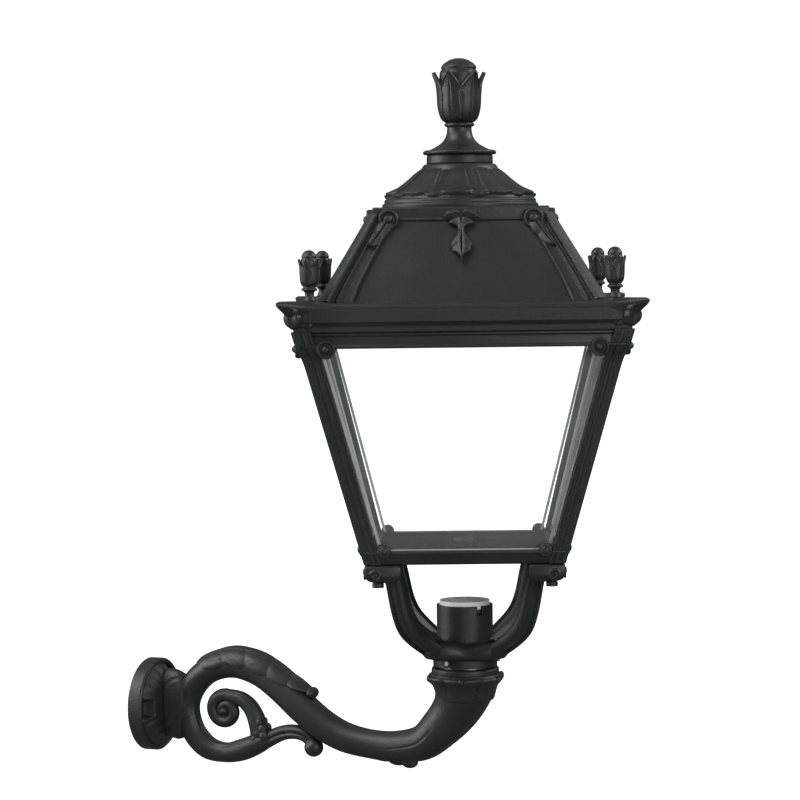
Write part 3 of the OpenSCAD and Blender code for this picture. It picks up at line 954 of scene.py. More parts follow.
class Workshop:
    """Turns forms into finished pieces on the frame."""

    def __init__(self, datum: Datum) -> None:
        """Writes the finishes and the array tree.

        Args:
            datum: where the lantern stands.
        """
        self.datum = datum
        self.rings = RingArray()
        looks = [PaintedCasting(), ZincSteel(), MouldedRubber(), ClearPane(), MouldedPlastic(),
                 MouldedRubber("grey_silicone", Slot.GLAZING_STRIP, (0.5, 0.52, 0.51, 1),
                               (0.36, 0.37, 0.36, 1)),
                 CoatedSheet(), MouldedPlastic("opal_lens", Slot.LENS, (0.86, 0.86, 0.83, 1),
                                               (0.8, 0.79, 0.73, 1), 0.22)]
        self.finishes = {look.slot: look.material() for look in looks}
        # the flat tray under the lamp is rough and without sheen, so that it does not mirror the sky; its paint is
        # also darker than the rest of the casting, as painted shade for the shade inside the lantern
        self.matt = PaintedCasting("shaded_tray_casting", deep=(0.005, 0.006, 0.0055, 1), gloss=0.9,
                                   shine=0.0).material()
        self.made = 0

    def piece(self, name: str, form: Form, rider: Rider, slot: Slot = Slot.CASTING,
              stands_for: Sequence[str] = (), count: int = 0, sharp: float = 38.0) -> bpy.types.Object:
        """Makes one piece.

        Args:
            name: name of the piece.
            form: its shape, drawn on the lantern's axis unless it rides on the bracket.
            rider: body that it rides on.
            slot: material slot that it takes its finish from.
            stands_for: nodes that it replaces.
            count: how many times it is repeated round the Z axis, or 0.
            sharp: angle in degrees past which an edge stays sharp.

        Returns:
            The piece.
        """
        finish = self.finishes[slot]
        obj = bpy.data.objects.new(name, form.mesh(name))
        bpy.context.scene.collection.objects.link(obj)
        if count:
            self.rings.spread(obj, count, finish)
        if rider is not Rider.BRACKET:
            obj.data.transform(self.datum.matrix())
        if not obj.data.materials:
            obj.data.materials.append(finish)
        obj.data.shade_smooth()
        obj.data.set_sharp_from_angle(angle=math.radians(sharp))
        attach(obj, rider.value)
        if stands_for:
            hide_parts(*stands_for)
        self.made += 1
        LOG.info("%-20s %6d faces, on %s", name, len(obj.data.polygons), rider.value)
        return obj

    def dress_nodes(self) -> None:
        """Gives every node of the frame the finish of its slot, and the tray its rough finish, darkened as painted
        shade.
        """
        slots = {row["node"]: row["material_slot"] for row in frame["record"]["subparts"]}
        for name, obj in frame["nodes"].items():
            obj.data.materials.clear()
            # the tray gets the darker paint that stands in for the shade inside the lantern
            obj.data.materials.append(self.matt if name == "base_plate"
                                      else self.finishes[Slot(slots[name])])


@dataclass
class Assembly:
    """A group of pieces that all ride on one body."""

    shop: Workshop
    rider: Rider

    @property
    def datum(self) -> Datum:
        """Where the lantern stands."""
        return self.shop.datum

    def span(self, node: str) -> tuple[float, float]:
        """Lowest and greatest height of a node."""
        return self.datum.low(node), self.datum.high(node)

    def piece(self, name: str, form: Form, **options: object) -> bpy.types.Object:
        """Makes one piece that rides on the body of this group.

        Args:
            name: name of the piece.
            form: its shape.
            **options: what else Workshop.piece takes.

        Returns:
            The piece.
        """
        return self.shop.piece(name, form, self.rider, **options)


# ---------- bracket ----------


@dataclass
class WallBracket(Assembly):
    """Wall plate, scrolled arm and the ring that ends it."""

    rider: Rider = Rider.BRACKET
    run_from: float = 187.0
    bend_back: float = 55.0
    ring_radius: float = 40.0
    eye: tuple = (106.0, -4.0)
    leaf: float = 150.0

    def between(self, t: float) -> float:
        """X of a share of the run between the scroll and the bend."""
        return self.run_from + t * (self.datum.reach - self.bend_back - self.run_from)

    def arm_points(self) -> tuple:
        """Path of the arm, from under its ring down the bend and round the scroll.

        Returns:
            Rows of x, z and radius.
        """
        reach, top = self.datum.reach, self.datum.low("end_ring")
        return (
            (reach, top - 1, 37), (reach - 3, top - 20, 34.5), (reach - 13, top - 42, 29),
            (reach - 32, top - 64, 25), (self.between(1), -28, 21.5), (self.between(0.82), -35, 19),
            (self.between(0.63), -34, 17.5), (self.between(0.45), -28, 18), (self.between(0.3), -16, 18.5),
            (self.between(0.15), 3, 19), (self.run_from, 26, 19.5), (156, 47, 19.5), (121, 55.5, 18.5),
            (88, 47, 16.5), (64, 27, 16), (54, 0, 14.5), (60, -29, 14.5), (79, -50, 14),
            (104, -55.8, 12.2), (128, -51, 13.5), (150, -42, 12.5), (166, -35, 9))

    def arm(self) -> Tube:
        """The arm's bar."""
        return Tube(self.arm_points(), 16)

    def build(self) -> None:
        """Builds all pieces of the bracket."""
        self.plate()
        self.root()
        self.beam()
        self.sheath()
        self.volute()
        self.tendril()
        self.arm_end()

    def plate(self) -> None:
        """Rounded band and a low petalled dome on the plate, hollow round its fixing holes."""
        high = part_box("wall_plate")[1]
        radius, thick = high.z * MM, high.x * MM
        band = Form().lathe(eased([(radius - 6, 1), (radius - 0.8, 1), (radius, 3), (radius, thick - 4),
                                   (radius - 1.2, thick - 1.4), (radius - 3.6, thick),
                                   (radius - 6.5, thick - 1)], 1.6), looped=True)
        # rings of the dome: radius, and height above its floor
        rings = [(20.0, 17.5), (27, 17), (33, 15.5), (38, 13.2), (43, 10.4), (47, 7.8), (50, 5.6),
                 (radius - 4.5, 3.4), (radius - 4.2, 0.4)]
        profile = smooth_path(rings, 4)
        a = circle(180)[None, :]
        r, rise = profile[:, 0:1] + 0 * a, profile[:, 1:2] + 0 * a
        # three hollows, one at each fixing hole
        off = np.abs((a + QUARTER + TURN / 6) % (TURN / 3) - TURN / 6)
        hollow = (1 - ease(off, 0.17, 0.3)) * ease(r, 34, 39) * (1 - ease(r, 50.5, 52.5))
        fold = np.abs(np.sin(7.5 * (a + QUARTER))) ** 0.8 * 2.2 * bump(r, 42, 9)
        floor = thick - 6.0
        z = floor + np.maximum((rise + fold - 1.2) * (1 - hollow), -1.0)
        top = np.stack([r * np.cos(a), r * np.sin(a), z], -1)
        under = top[::-1].copy()
        under[..., 2] = floor - 2
        upright = turned(QUARTER, "Y")
        petals = Form().grid(np.concatenate([top, under]), looped=True)
        self.piece("plate_band", band.cloned(upright))
        self.piece("plate_dome", petals.cloned(upright))

    def root(self) -> None:
        """Leafy root, tall and narrow, that runs from the plate into the scroll."""
        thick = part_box("wall_plate")[1].x * MM
        bar = Tube(((thick - 2, 0, 36), (thick + 8, 0, 42), (thick + 20, 1, 43.5), (thick + 32, 1, 40),
                    (thick + 42, 1, 30), (thick + 48, 1, 18)), 14, 0.43)

        def relief(s: Array, a: Array) -> Array:
            """Slow wavy folds that run from the plate to the arm.

            Args:
                s: length along the bar.
                a: angle round it.

            Returns:
                The height at each place.
            """
            fold = np.sin(3 * a + 0.11 * s + 0.4)
            soft = np.sin(np.clip(s / 52, 0, 1) * math.pi) ** 0.6
            return (1.7 * fold - 1.6 * bump(np.sin(2.5 * a - 0.05 * s), 0, 0.16)) * soft

        self.piece("arm_root", bar.skin(relief, 170), stands_for=("plate_collar",))

    def beam(self) -> None:
        """The arm's bar, with a beaded lower edge and long folds."""
        bar = self.arm()
        total = bar.length()

        def relief(s: Array, a: Array) -> Array:
            """Edge bead below, hollow sides beside it, and folds over the bend.

            Args:
                s: length along the bar.
                a: angle round it.

            Returns:
                The height at each place.
            """
            side = aside(a)
            live = ease(s, 8, 60) * (1 - ease(s, total * 0.44, total * 0.52))
            edge = -1.5 * bump(side, 0.72, 0.1) + 0.9 * bump(side, 0.52, 0.1) - 0.9 * bump(side, 0.3, 0.12)
            fold = -0.9 * bump(side, 1.85 - 0.002 * s, 0.05) * ease(s, 60, 95) * (1 - ease(s, 120, 165))
            inner = 0.8 * bump(side, 0.5, 0.16) - 0.9 * bump(side, 0.24, 0.14)
            loop = inner * ease(s, total * 0.62, total * 0.7) * (1 - ease(s, total * 0.93, total * 0.99))
            return edge * live + fold + loop

        form = bar.skin(relief, 120)
        rows, run = bar.path()
        # three balls in a row that form a bud under the bend
        drop = float(np.interp(self.between(0.82) + 4, rows[:120, 0][::-1], run[:120][::-1]))
        for back, deep, size, long in ((-8, 0.2, 8.2, 1.25), (5, -2.6, 7.6, 1.7), (20, -5.4, 7.2, 2.2)):
            form.ball(bar.at(drop + back, 0.0, deep), size, (long, 1.05, 0.85))
        self.piece("arm_bar", form, stands_for=("arm_beam", "arm_bead"))

    def sheath(self) -> None:
        """Acanthus leaf over the scroll, with lobes down both sides and a curled tip."""
        bar = self.arm()
        rows, run = bar.path()
        crown = int(np.argmax(rows[:, 1]))
        start = float(run[crown]) + 46
        leaf = Leaf(self.leaf, 34, Cut.ACANTHUS, 5, 0.14, 1.6, 1.9, 0.4, curl=4.5, sink=3.4,
                    along=170, across=51)
        form = leaf.build(bar.leaf(start, math.pi, -1))
        # the leaf's tip rolls up into a small knob
        form.ball(bar.at(start - self.leaf + 1, math.pi, 3.2), 7.2, (0.95, 1.7, 1.0))
        for side in (-1, 1):
            for back, lean, size in ((34, 1.05, 5.2), (74, 1.15, 5.6), (108, 1.0, 4.8)):
                form.ball(bar.at(start - back, math.pi + side * lean, -3.0), size, (1.5, 0.8, 1.1))
        self.piece("scroll_leaf", form, stands_for=("arm_leaf",))

    def volute(self) -> None:
        """Snail of the scroll: a stem that winds in to a proud eye."""
        (cx, cz), start, wound = self.eye, 17.5, 505
        turns = []
        for t in np.linspace(0, 1, 34):
            wide = start - 13.2 * float(ease(t, 0.12, 1.06))
            at = math.radians(75 + wound * t)
            turns.append((cx + wide * math.cos(at), cz + 2 * (1 - t) + wide * math.sin(at), 8.4 - 3.2 * t))
        stem = [(148, -41, 9), (151, -24, 11.5), (143, -2, 10.5), (129, 11, 9.4)]
        bar = Tube(tuple(stem + turns), 5)

        def relief(s: Array, a: Array) -> Array:
            """A rounded back with a fine groove on each cheek.

            Args:
                s: length along the bar.
                a: angle round it.

            Returns:
                The height at each place.
            """
            side = aside(a)
            proud = 2.4 * bump(side, math.pi / 2, 0.7) * ease(s, 120, 190)
            return proud - 0.7 * bump(side, 2.35, 0.12) * ease(s, 20, 50)

        form = bar.skin(relief, 56)
        disc = eased([(0, -5), (9, -4), (start - 2, -2.4), (start - 2, 2.4), (9, 4), (0, 5)], 1.2,
                     closed=False)
        form.join(Form().lathe(disc, 64).cloned(shifted(cx, 0, cz) @ turned(QUARTER, "X")))
        form.ball((cx, 0, cz), 5.8, (1, 1.8, 1))
        for side in (-1, 1):
            for x, z, size in ((155, -15, 4.4), (159, -23, 5.4), (161, -31, 5.8),
                               (153, -28, 5.2), (148, -36, 4.6)):
                form.ball((x, side * 7.4, z), size, (1.0, 0.9, 1.15))
        self.piece("scroll_volute", form, stands_for=("volute_scroll", "volute_disc"), sharp=50)

    def tendril(self) -> None:
        """Tendril that leaves the scroll and ends in a ball."""
        bar = Tube(((156, -42, 9), (170, -33, 9.6), (184, -27, 9.2), (198, -25, 9), (211, -27, 8.8),
                    (220, -33.5, 8.4), (224.5, -41, 8.4)), 14)
        total = bar.length()

        def relief(s: Array, a: Array) -> Array:
            """Two rounded strands with a valley between them.

            Args:
                s: length along the bar.
                a: angle round it.

            Returns:
                The height at each place.
            """
            side = aside(a)
            valley = -2.6 * bump(side, math.pi / 2 + 0.1, 0.26)
            return valley * ease(s, 4, 18) * (1 - ease(s, total - 12, total))

        form = bar.skin(relief, 64)
        form.ball((224.5, 0, -42.5), 11.6, (1, 1.05, 1))
        self.piece("scroll_tendril", form, stands_for=("tendril",))

    def arm_end(self) -> None:
        """Leaves that cup the arm's end, and the plain ring above them."""
        (low, top), radius = self.span("end_ring"), self.ring_radius
        skew, knobs = 0.25, 46.8

        def lobes(a: Array, z: Array) -> Array:
            """Six soft lobes at the rim, with a crease between each two.

            Args:
                a: angle round the axis.
                z: height.

            Returns:
                The height at each place.
            """
            rim = ease(z, low - 22, low - 2)
            wave = np.cos(3 * (a + skew))
            crease = 2.3 * bump(wave, 0, 0.15) * (1 - rim * 0.3)
            return rim * (3.4 * np.abs(wave) - 2.2) - crease

        outline = eased([(30, low - 30), (34.2, low - 27), (36.6, low - 18), (39.6, low - 10.5),
                         (43.8, low - 6), (46.2, low - 3.2), (46.4, low - 0.2), (44.4, low + 1.4),
                         (41.4, low + 0.6), (38.5, low - 1.6), (30, low - 3)], 1.6, steps=4)
        form = Form().lathe(outline, 168, lobes, looped=True)
        for k in range(6):
            at = math.radians(60 * k) - skew
            form.ball((knobs * math.cos(at), knobs * math.sin(at), low - 1.4), 3.2, (1, 1, 1.1))
        place = shifted(self.datum.reach)
        self.piece("cup_leaves", form.cloned(place), stands_for=("end_leaves",))
        ring = eased([(radius - 4, low - 2), (radius - 1, low - 1), (radius + 1.5, low + 0.5),
                      (radius - 0.6, low + 2.4), (radius, low + 4), (radius, top - 1.4),
                      (radius - 1.4, top), (radius - 9, top), (radius - 9, low - 2)], 1.0)
        self.piece("arm_ring", Form().lathe(ring, looped=True).cloned(place), stands_for=("end_ring",))


# ---------- fork ----------


@dataclass
class Fork(Assembly):
    """Legs and feet that carry the lantern over its socket."""

    rider: Rider = Rider.LANTERN
    foot: float = 93.5
    foot_half: float = 21.5

    def build(self) -> None:
        """Builds the legs and the feet."""
        self.legs()
        self.saddle()
        self.feet()

    def legs(self) -> None:
        """Four S-shaped legs, each a wide beaded blade with a web behind it."""
        base, socket = self.datum.low("lower_frame"), self.datum.low("fork_hub")
        top = (self.foot - 13) * math.sqrt(2)
        path = smooth_path(((31.5, socket + 22, 13), (41, socket + 21, 15.5), (57, socket + 28, 17.5),
                            (top - 28, socket + 48, 17), (top - 14, socket + 70, 15.5),
                            (top - 4, base - 28, 14.5), (top + 1, base - 12, 14), (top + 1, base, 14)), 9)
        head = headings(path)
        # the section across the blade, as shares: sideways, and outwards from the path
        blade = np.array([(-1.0, -0.1), (-1.0, 0.5), (-0.86, 0.7), (-0.7, 0.62), (-0.62, 0.42),
                          (-0.3, 0.5), (0.0, 0.56), (0.3, 0.5), (0.62, 0.42), (0.7, 0.62),
                          (0.86, 0.7), (1.0, 0.5), (1.0, -0.1), (0.8, -0.3), (0.42, -0.36),
                          (0.34, -0.78), (0.26, -0.98), (0.0, -1.04), (-0.26, -0.98), (-0.34, -0.78),
                          (-0.42, -0.36), (-0.8, -0.3)])
        rows = []
        for (r, z, size), (hr, hz) in zip(path, head):
            side, out = blade[:, 0] * size * 0.82, blade[:, 1] * size * 0.84
            rows.append(np.stack([r + hz * out, side, z - hr * out], -1))
        form = Form().grid(np.array(rows)).cloned(turned(QUARTER / 2, "Z"))
        self.piece("fork_blades", form, count=4, sharp=50,
                   stands_for=("fork_leg_1", "fork_leg_2", "fork_leg_3", "fork_leg_4"))

    def saddle(self) -> None:
        """Low bowl that joins the roots of the four legs round the socket."""
        base = self.datum.low("fork_leg_1")
        a = circle(144)
        lobe = np.sin(2 * a) ** 2
        rows = []
        # each ring: radius between the legs, its growth at a leg, height, and growth there
        for r, more, z, rise in ((31, 0, 0.4, 0), (41, 7, 0.2, 0), (46, 11, 2.4, 0), (48, 14, 7, 0.5),
                                 (47, 15, 12.5, 4), (44.5, 14, 16.2, 7.5), (41, 11, 18.4, 8),
                                 (37.5, 6, 19.6, 5), (31, 0, 20.2, 2)):
            rows.append(np.stack([(r + more * lobe) * np.cos(a), (r + more * lobe) * np.sin(a),
                                  base + z + rise * lobe], -1))
        self.piece("fork_saddle", Form().grid(np.array(rows), looped=True), sharp=60)

    def feet(self) -> None:
        """Four feet, each a rounded block with a scroll on its two outer cheeks."""
        (low, high), half = self.span("fork_feet"), self.foot_half
        block = eased([(half - 14, low), (half - 5, low + 2.2), (half - 0.8, low + 7), (half, low + 12),
                       (half, high - 3), (half - 1.6, high), (1, high), (1, low)], 3.2, steps=4)
        form = Form().square(block, 2.2).cloned(shifted(self.foot, self.foot))
        curl = Tube(tuple((wide * math.cos(t), wide * math.sin(t), 2.2 - 0.16 * t)
                          for t, wide in zip(np.linspace(0.4, 8.6, 24), np.linspace(6.6, 1.4, 24))), 3)
        swirl = curl.skin(lambda s, a: 0 * s + 0 * a, 14)
        near, far, centre = self.foot + 8, self.foot + half - 0.4, low + 9.4
        form.join(swirl.cloned(shifted(near, far, centre)))
        form.join(swirl.cloned(shifted(far, near, centre) @ turned(QUARTER, "Z")))
        self.piece("fork_foot_blocks", form, count=4, stands_for=("fork_feet",))


# ---------- lantern ----------


@dataclass
class LanternFrame(Assembly):
    """Rails and posts that hold the panes."""

    rider: Rider = Rider.LANTERN
    post: float = 22.0
    foot: float = 115.0
    pane_back: float = 12.6
    boss: float = 92.0
    eye: float = 152.0

    def half_at(self, z: float) -> float:
        """Half width of the tapered frame.

        Args:
            z: height of the place.

        Returns:
            The half width there.
        """
        low, high = self.datum.low("lower_frame"), self.datum.high("post_1")
        top = self.datum.half("upper_frame") - 2
        return self.foot + (z - low) * (top - self.foot) / (high - low)

    def build(self) -> None:
        """Builds rails, posts and the ornament under the eave."""
        self.lower_rail()
        self.posts()
        self.upper_rail()
        self.eye_scrolls()
        self.strips()

    def strips(self) -> None:
        """Pale strips that hold the panes along the posts, from inside."""
        low, high = self.datum.high("lower_frame") + 1, self.datum.low("upper_frame") - 1
        form = Form()
        for side in (-1, 1):
            rows = []
            for z in (low, high):
                edge, back = self.half_at(z) - self.post - 0.6, self.pane_back - self.half_at(z)
                corners = ((edge, back), (edge - 3.2, back), (edge - 3.2, back + 2), (edge, back + 2))
                rows.append([(side * x, y, z) for x, y in corners])
            form.join(Form().grid(np.array(rows)))
        self.piece("glass_strips", form, slot=Slot.GLAZING_STRIP, stands_for=("glazing_beads",), count=4)

    def lower_rail(self) -> None:
        """Shallow lower rail with a thin bead on top, and the bosses beside its corners."""
        low, high = self.span("lower_frame")
        top, inner = self.half_at(high), self.half_at(high) - self.post
        outline = [(self.half_at(low) - 2.8, low), (self.half_at(low) - 1.0, low + 1.6),
                   (top - 1.4, high - 3.6), (top - 0.6, high - 2.6), (top - 0.6, high - 0.8),
                   (top - 1.6, high), (inner, high), (inner, high - 4), (inner - 6, high - 4),
                   (inner - 6, low)]
        self.piece("lower_rail", Form().square(eased(outline, 0.8), 1.6),
                   stands_for=("lower_frame",), sharp=30)
        knob = Form().lathe(eased([(0, 4.4), (3.6, 3.6), (5.0, 1.8), (6.4, 1.9), (7.8, 0.8), (7.9, -12),
                                   (0, -12)], 0.7, closed=False), 40)
        form = Form()
        for side in (-1, 1):
            at = shifted(side * self.boss, 0.6 - top, high + 0.5)
            form.join(knob.cloned(at @ turned(QUARTER, "X")))
        self.piece("rail_bosses", form, count=4)

    def posts(self) -> None:
        """Four leaning posts, with a bead beside each pane and a fluted face."""
        low, high = self.datum.low("lower_frame") + 0.6, self.datum.high("post_1")
        p = self.post
        # outline of one post at its corner: x and y inwards from the outer corner
        face = [(0.0, 1.6), (1.6, 0.0), (4.6, 0.0), (5.6, 1.3), (10.6, 1.3), (11.6, 0.1), (14.4, 0.1),
                (15.2, 1.5), (18.6, 1.5), (19.4, 0.3), (p - 0.6, 0.3), (p, 1.0)]
        outline = np.array([*face, (p, p), *[(y, x) for x, y in reversed(face)]])
        rows = []
        head = self.datum.high("upper_frame") + 0.6
        for z in [*np.linspace(low, high - 26, 6), *np.linspace(high - 20, head, 9)]:
            size = 1.0 - 0.12 * (1 - min(1.0, (z - low) / (high - low)))
            flare = 9.5 * float(ease(z, high - 24, head + 8)) ** 1.3
            h = self.half_at(min(float(z), high)) + flare
            rows.append(np.stack([-h + outline[:, 0] * size, -h + outline[:, 1] * size,
                                  np.full(len(outline), z)], -1))
        form = Form().grid(np.array(rows))
        self.piece("corner_posts", form, count=4, sharp=30,
                   stands_for=("post_1", "post_2", "post_3", "post_4"))

    def upper_rail(self) -> None:
        """Moulding along the upper rail's outer face."""
        (low, high), half = self.span("upper_frame"), self.datum.half("upper_frame")
        outline = [(half - 2, low - 0.6), (half + 0.6, low), (half + 1.2, low + 2),
                   (half + 0.2, low + 4), (half + 0.2, high - 5), (half + 1.8, high - 3.4),
                   (half + 1.8, high - 1), (half - 2, high)]
        self.piece("upper_moulding", Form().square(eased(outline, 0.7), 1.4), sharp=30)

    def eye_scrolls(self) -> None:
        """Scroll ends with a proud eye under the eave, two on each side."""
        high, half = self.datum.low("upper_frame") - 1, self.datum.half("upper_frame")
        eye = eased([(0, 11.2), (2.8, 10.4), (4.6, 7.6), (5.0, 5.2), (6.6, 5.0), (7.8, 7.0), (9.4, 7.2),
                     (10.5, 5.6), (10.8, -9), (0, -9)], 0.8, closed=False)
        knob = Form().lathe(eye, 48).cloned(turned(QUARTER, "X"))
        form = Form()
        for side in (-1, 1):
            form.join(knob.cloned(shifted(side * self.eye, -half + 3.4, high)))
        self.piece("eye_scrolls", form, count=4, stands_for=("scroll_bosses",))


# ---------- roof ----------


@dataclass
class Roof(Assembly):
    """Eave, slopes, fluted hips and their ornament."""

    rider: Rider = Rider.ROOF
    horn: float = 14.6
    head: float = 99.5
    corner: float = 170.0

    def build(self) -> None:
        """Builds the roof below the dome."""
        self.cornice()
        self.horns()
        self.slopes()
        self.hips()
        self.pendants()
        self.finials()

    def cornice(self) -> None:
        """Eave that sweeps out into a horn at each corner."""
        (low, high), half = self.span("eave"), self.datum.half("eave")
        inner = half - 40
        profile = eased([(inner, low + 3), (half - 5.8, low + 3), (half - 5.8, low - 2.3),
                         (half - 4.4, low - 2.3), (half - 3.8, low + 3), (half - 4.6, low + 5),
                         (half - 3.4, low + 12), (half - 1.4, low + 20), (half, high - 4.5),
                         (half - 0.6, high - 1.6), (half - 4, high + 0.3), (inner, high + 0.3)], 1.2)
        # places along one side, closer together by its corners
        run = np.concatenate([np.linspace(-1, -0.62, 22, endpoint=False),
                              np.linspace(-0.62, 0.62, 9), np.linspace(0.62, 1, 23)[1:-1]])
        rows = []
        for h, z in profile:
            rise = ease(z, low + 2, high - 1)
            ring = []
            for q in range(4):
                turn = Matrix.Rotation(QUARTER * q, 3, "Z")
                for s in run:
                    near = math.exp(-(((1 - abs(s)) * half) / 15) ** 1.3) if h > inner + 1 else 0.0
                    grow = 1 + float(rise) ** 1.6 * near * self.horn / half
                    lift = 3.8 * near * float(rise) ** 3
                    point = turn @ Vector((s * h * grow, -h * grow, z + lift))
                    ring.append(point[:])
            rows.append(ring)
        self.piece("cornice", Form().grid(np.array(rows), looped=True), sharp=34)

    def horns(self) -> None:
        """Leaf horns on the corners of the eave, a shell between two side leaves."""
        low, half = self.datum.low("eave"), self.datum.half("eave")
        form = Form()
        corner = Leaf(31, 13, Cut.ACANTHUS, 2, 0.22, 3.2, 1.2, 0.8, curl=6.5, sink=4.5, along=34, across=17)
        form.join(corner.build(on_plane((half - 5, half - 5, low + 1), (0.2, 0.2, 1), (1, 1, -0.28))))
        for flip in (0, 1):
            foot = (half - 23, half - 4.5, low + 2) if flip else (half - 4.5, half - 23, low + 2)
            grow = (0.42, 0.12, 1) if flip else (0.12, 0.42, 1)
            out = (0, 1, -0.1) if flip else (1, 0, -0.1)
            form.join(Leaf(28, 9, Cut.ACANTHUS, 2, 0.25, 2.0, 0.9, 0.5, curl=4.0, sink=3.0, along=28)
                      .build(on_plane(foot, grow, out)))
        self.piece("eave_horns", form, count=4, stands_for=("corner_horns",))

    def slopes(self) -> None:
        """Flat moulded band at the head of the slopes."""
        high, top = self.datum.high("roof_shell"), self.head
        band = [(top - 5, high - 0.4), (top + 0.4, high), (top + 1.2, high - 1.4), (top + 1.2, high - 12.6),
                (top + 2.2, high - 14.2), (top + 1.4, high - 16), (top - 4, high - 16)]
        form = Form().square(eased(band, 0.6), 1.0)
        self.piece("slope_mouldings", form, sharp=30)

    def hips(self) -> None:
        """Fluted rib along each hip, with a scroll and its leaf at the head."""
        low, high = self.span("roof_shell")
        foot, head, top = self.datum.half("roof_shell"), self.head, high - 15
        rise = top - low
        # outline from the inner edge of one face over the hip to that of the other
        cuts = [(25, -2.5), (25, 2.6), (23.6, 4.2), (21.8, 4.0), (20.6, 2.6), (13.4, 2.3), (12.4, 3.4),
                (11.2, 5.2), (9.6, 5.4), (8.4, 4.0), (7.2, 2.6), (5.6, 2.8), (4.6, 5.0), (3.0, 7.2),
                (1.2, 8.4), (0.0, 8.8)]
        outline = [("front", d, h) for d, h in cuts] + [("side", d, h) for d, h in cuts[-2::-1]]
        lean = (foot - head) / rise
        rows = []
        for t in np.linspace(-0.015, 1.04, 26):
            half = foot + (head - foot) * t
            z = low + rise * t
            swell = 1 + 0.22 * (1 - t) ** 3
            ring = []
            for face, d, h in outline:
                d, h = d * swell, h * (1 + 0.15 * (1 - t) ** 2)
                up = Vector((0, -1, lean) if face == "front" else (1, 0, lean)).normalized()
                if d == 0:
                    up = Vector((1, -1, 2 * lean)).normalized() * 0.82
                start = Vector((half - d, -half, z) if face == "front" else (half, -half + d, z))
                ring.append((start + up * h)[:])
            rows.append(ring)
        form = Form().grid(np.array(rows))
        eye = eased([(0, 10.8), (3.2, 10), (5.2, 7.2), (5.6, 4.4), (7.4, 4.2), (8.8, 6.6), (10.6, 6.8),
                     (11.8, 5), (12.2, -8), (0, -8)], 0.8, closed=False)
        knob = Form().lathe(eye, 48)
        for side in (0, 1):
            spin = turned(QUARTER * side, "Z")
            across = head - 17 if not side else 17 - head
            at = spin @ shifted(across, -head - 1.6, high - 14) @ turned(QUARTER, "X")
            form.join(knob.cloned(at))
            up = (0, -1, lean) if not side else (1, 0, lean)
            at = (head - 19, -head - 1.6, high - 15) if not side else (head + 1.6, -head + 19, high - 15)
            grow = (0.72, -lean, -1) if not side else (lean, -0.72, -1)
            form.join(Leaf(44, 9.5, Cut.ACANTHUS, 2, 0.2, 5.0, 1.6, 0.6, curl=1.6, sink=2.0, along=38)
                      .build(on_plane(at, grow, up)))
        self.piece("hip_flutes", form, count=4, stands_for=("hip_ribs", "hip_scrolls"), sharp=40)

    def pendants(self) -> None:
        """Leaf that hangs from the band down the middle of each slope."""
        low, high = self.span("roof_shell")
        foot, head = self.datum.half("roof_shell"), self.head
        lean = (foot - head) / (high - 15 - low)
        leaf = Leaf(60, 14.5, Cut.PENDANT, 3, 0.16, 4.8, 1.4, 0.6, curl=0.8, sink=2.6, along=64, across=21)
        form = leaf.build(on_plane((0, -head - 1.2, high - 11), (0, -lean, -1), (0, -1, lean)))
        for side in (-1, 1):
            tie = Leaf(19, 5.5, Cut.ACANTHUS, 0, 0, 3.0, 0.8, 0.4, curl=1.6, sink=2.0, along=20, across=11)
            form.join(tie.build(on_plane((side * 2, -head - 1.2, high - 6), (side, 0, -0.3), (0, -1, 0))))
        self.piece("slope_leaves", form, count=4, stands_for=("roof_pendants",))

    def finials(self) -> None:
        """Small tulip finials on the corners of the eave."""
        low, high = self.span("corner_finial_1")
        drawn = 60.5
        k = (high - low) / drawn
        stem = eased([(0, 0), (11, 0), (11, 2.5), (7, 4.5), (5.2, 9), (5.2, 13), (6.4, 14.5), (9, 15.4),
                      (9, 17.4), (6.6, 19), (7.2, 21), (9, 26), (9.4, 36), (9.2, 49), (8.0, 51),
                      (8.6, 53), (7.2, 56.6), (4.2, 59.6), (0, drawn)], 1.1, closed=False)
        form = Form().lathe(stem * k, 40)
        cup = Turned(((6.4, 19.4), (9.2, 24.5), (10, 33), (10.3, 42), (11.2, 50.5)))
        petal = Leaf(32, 6.6, Cut.TULIP, 0, 0, 0.9, 0.0, 0.8, curl=0.7, sink=1.6, along=22, across=11)
        for side in range(6):
            form.join(petal.build(cup.petal(math.radians(60 * side + 15))))
        self.piece("corner_tulips", form.cloned(shifted(-self.corner, -self.corner, low)), count=4,
                   stands_for=("corner_finial_1", "corner_finial_2", "corner_finial_3",
                               "corner_finial_4"))


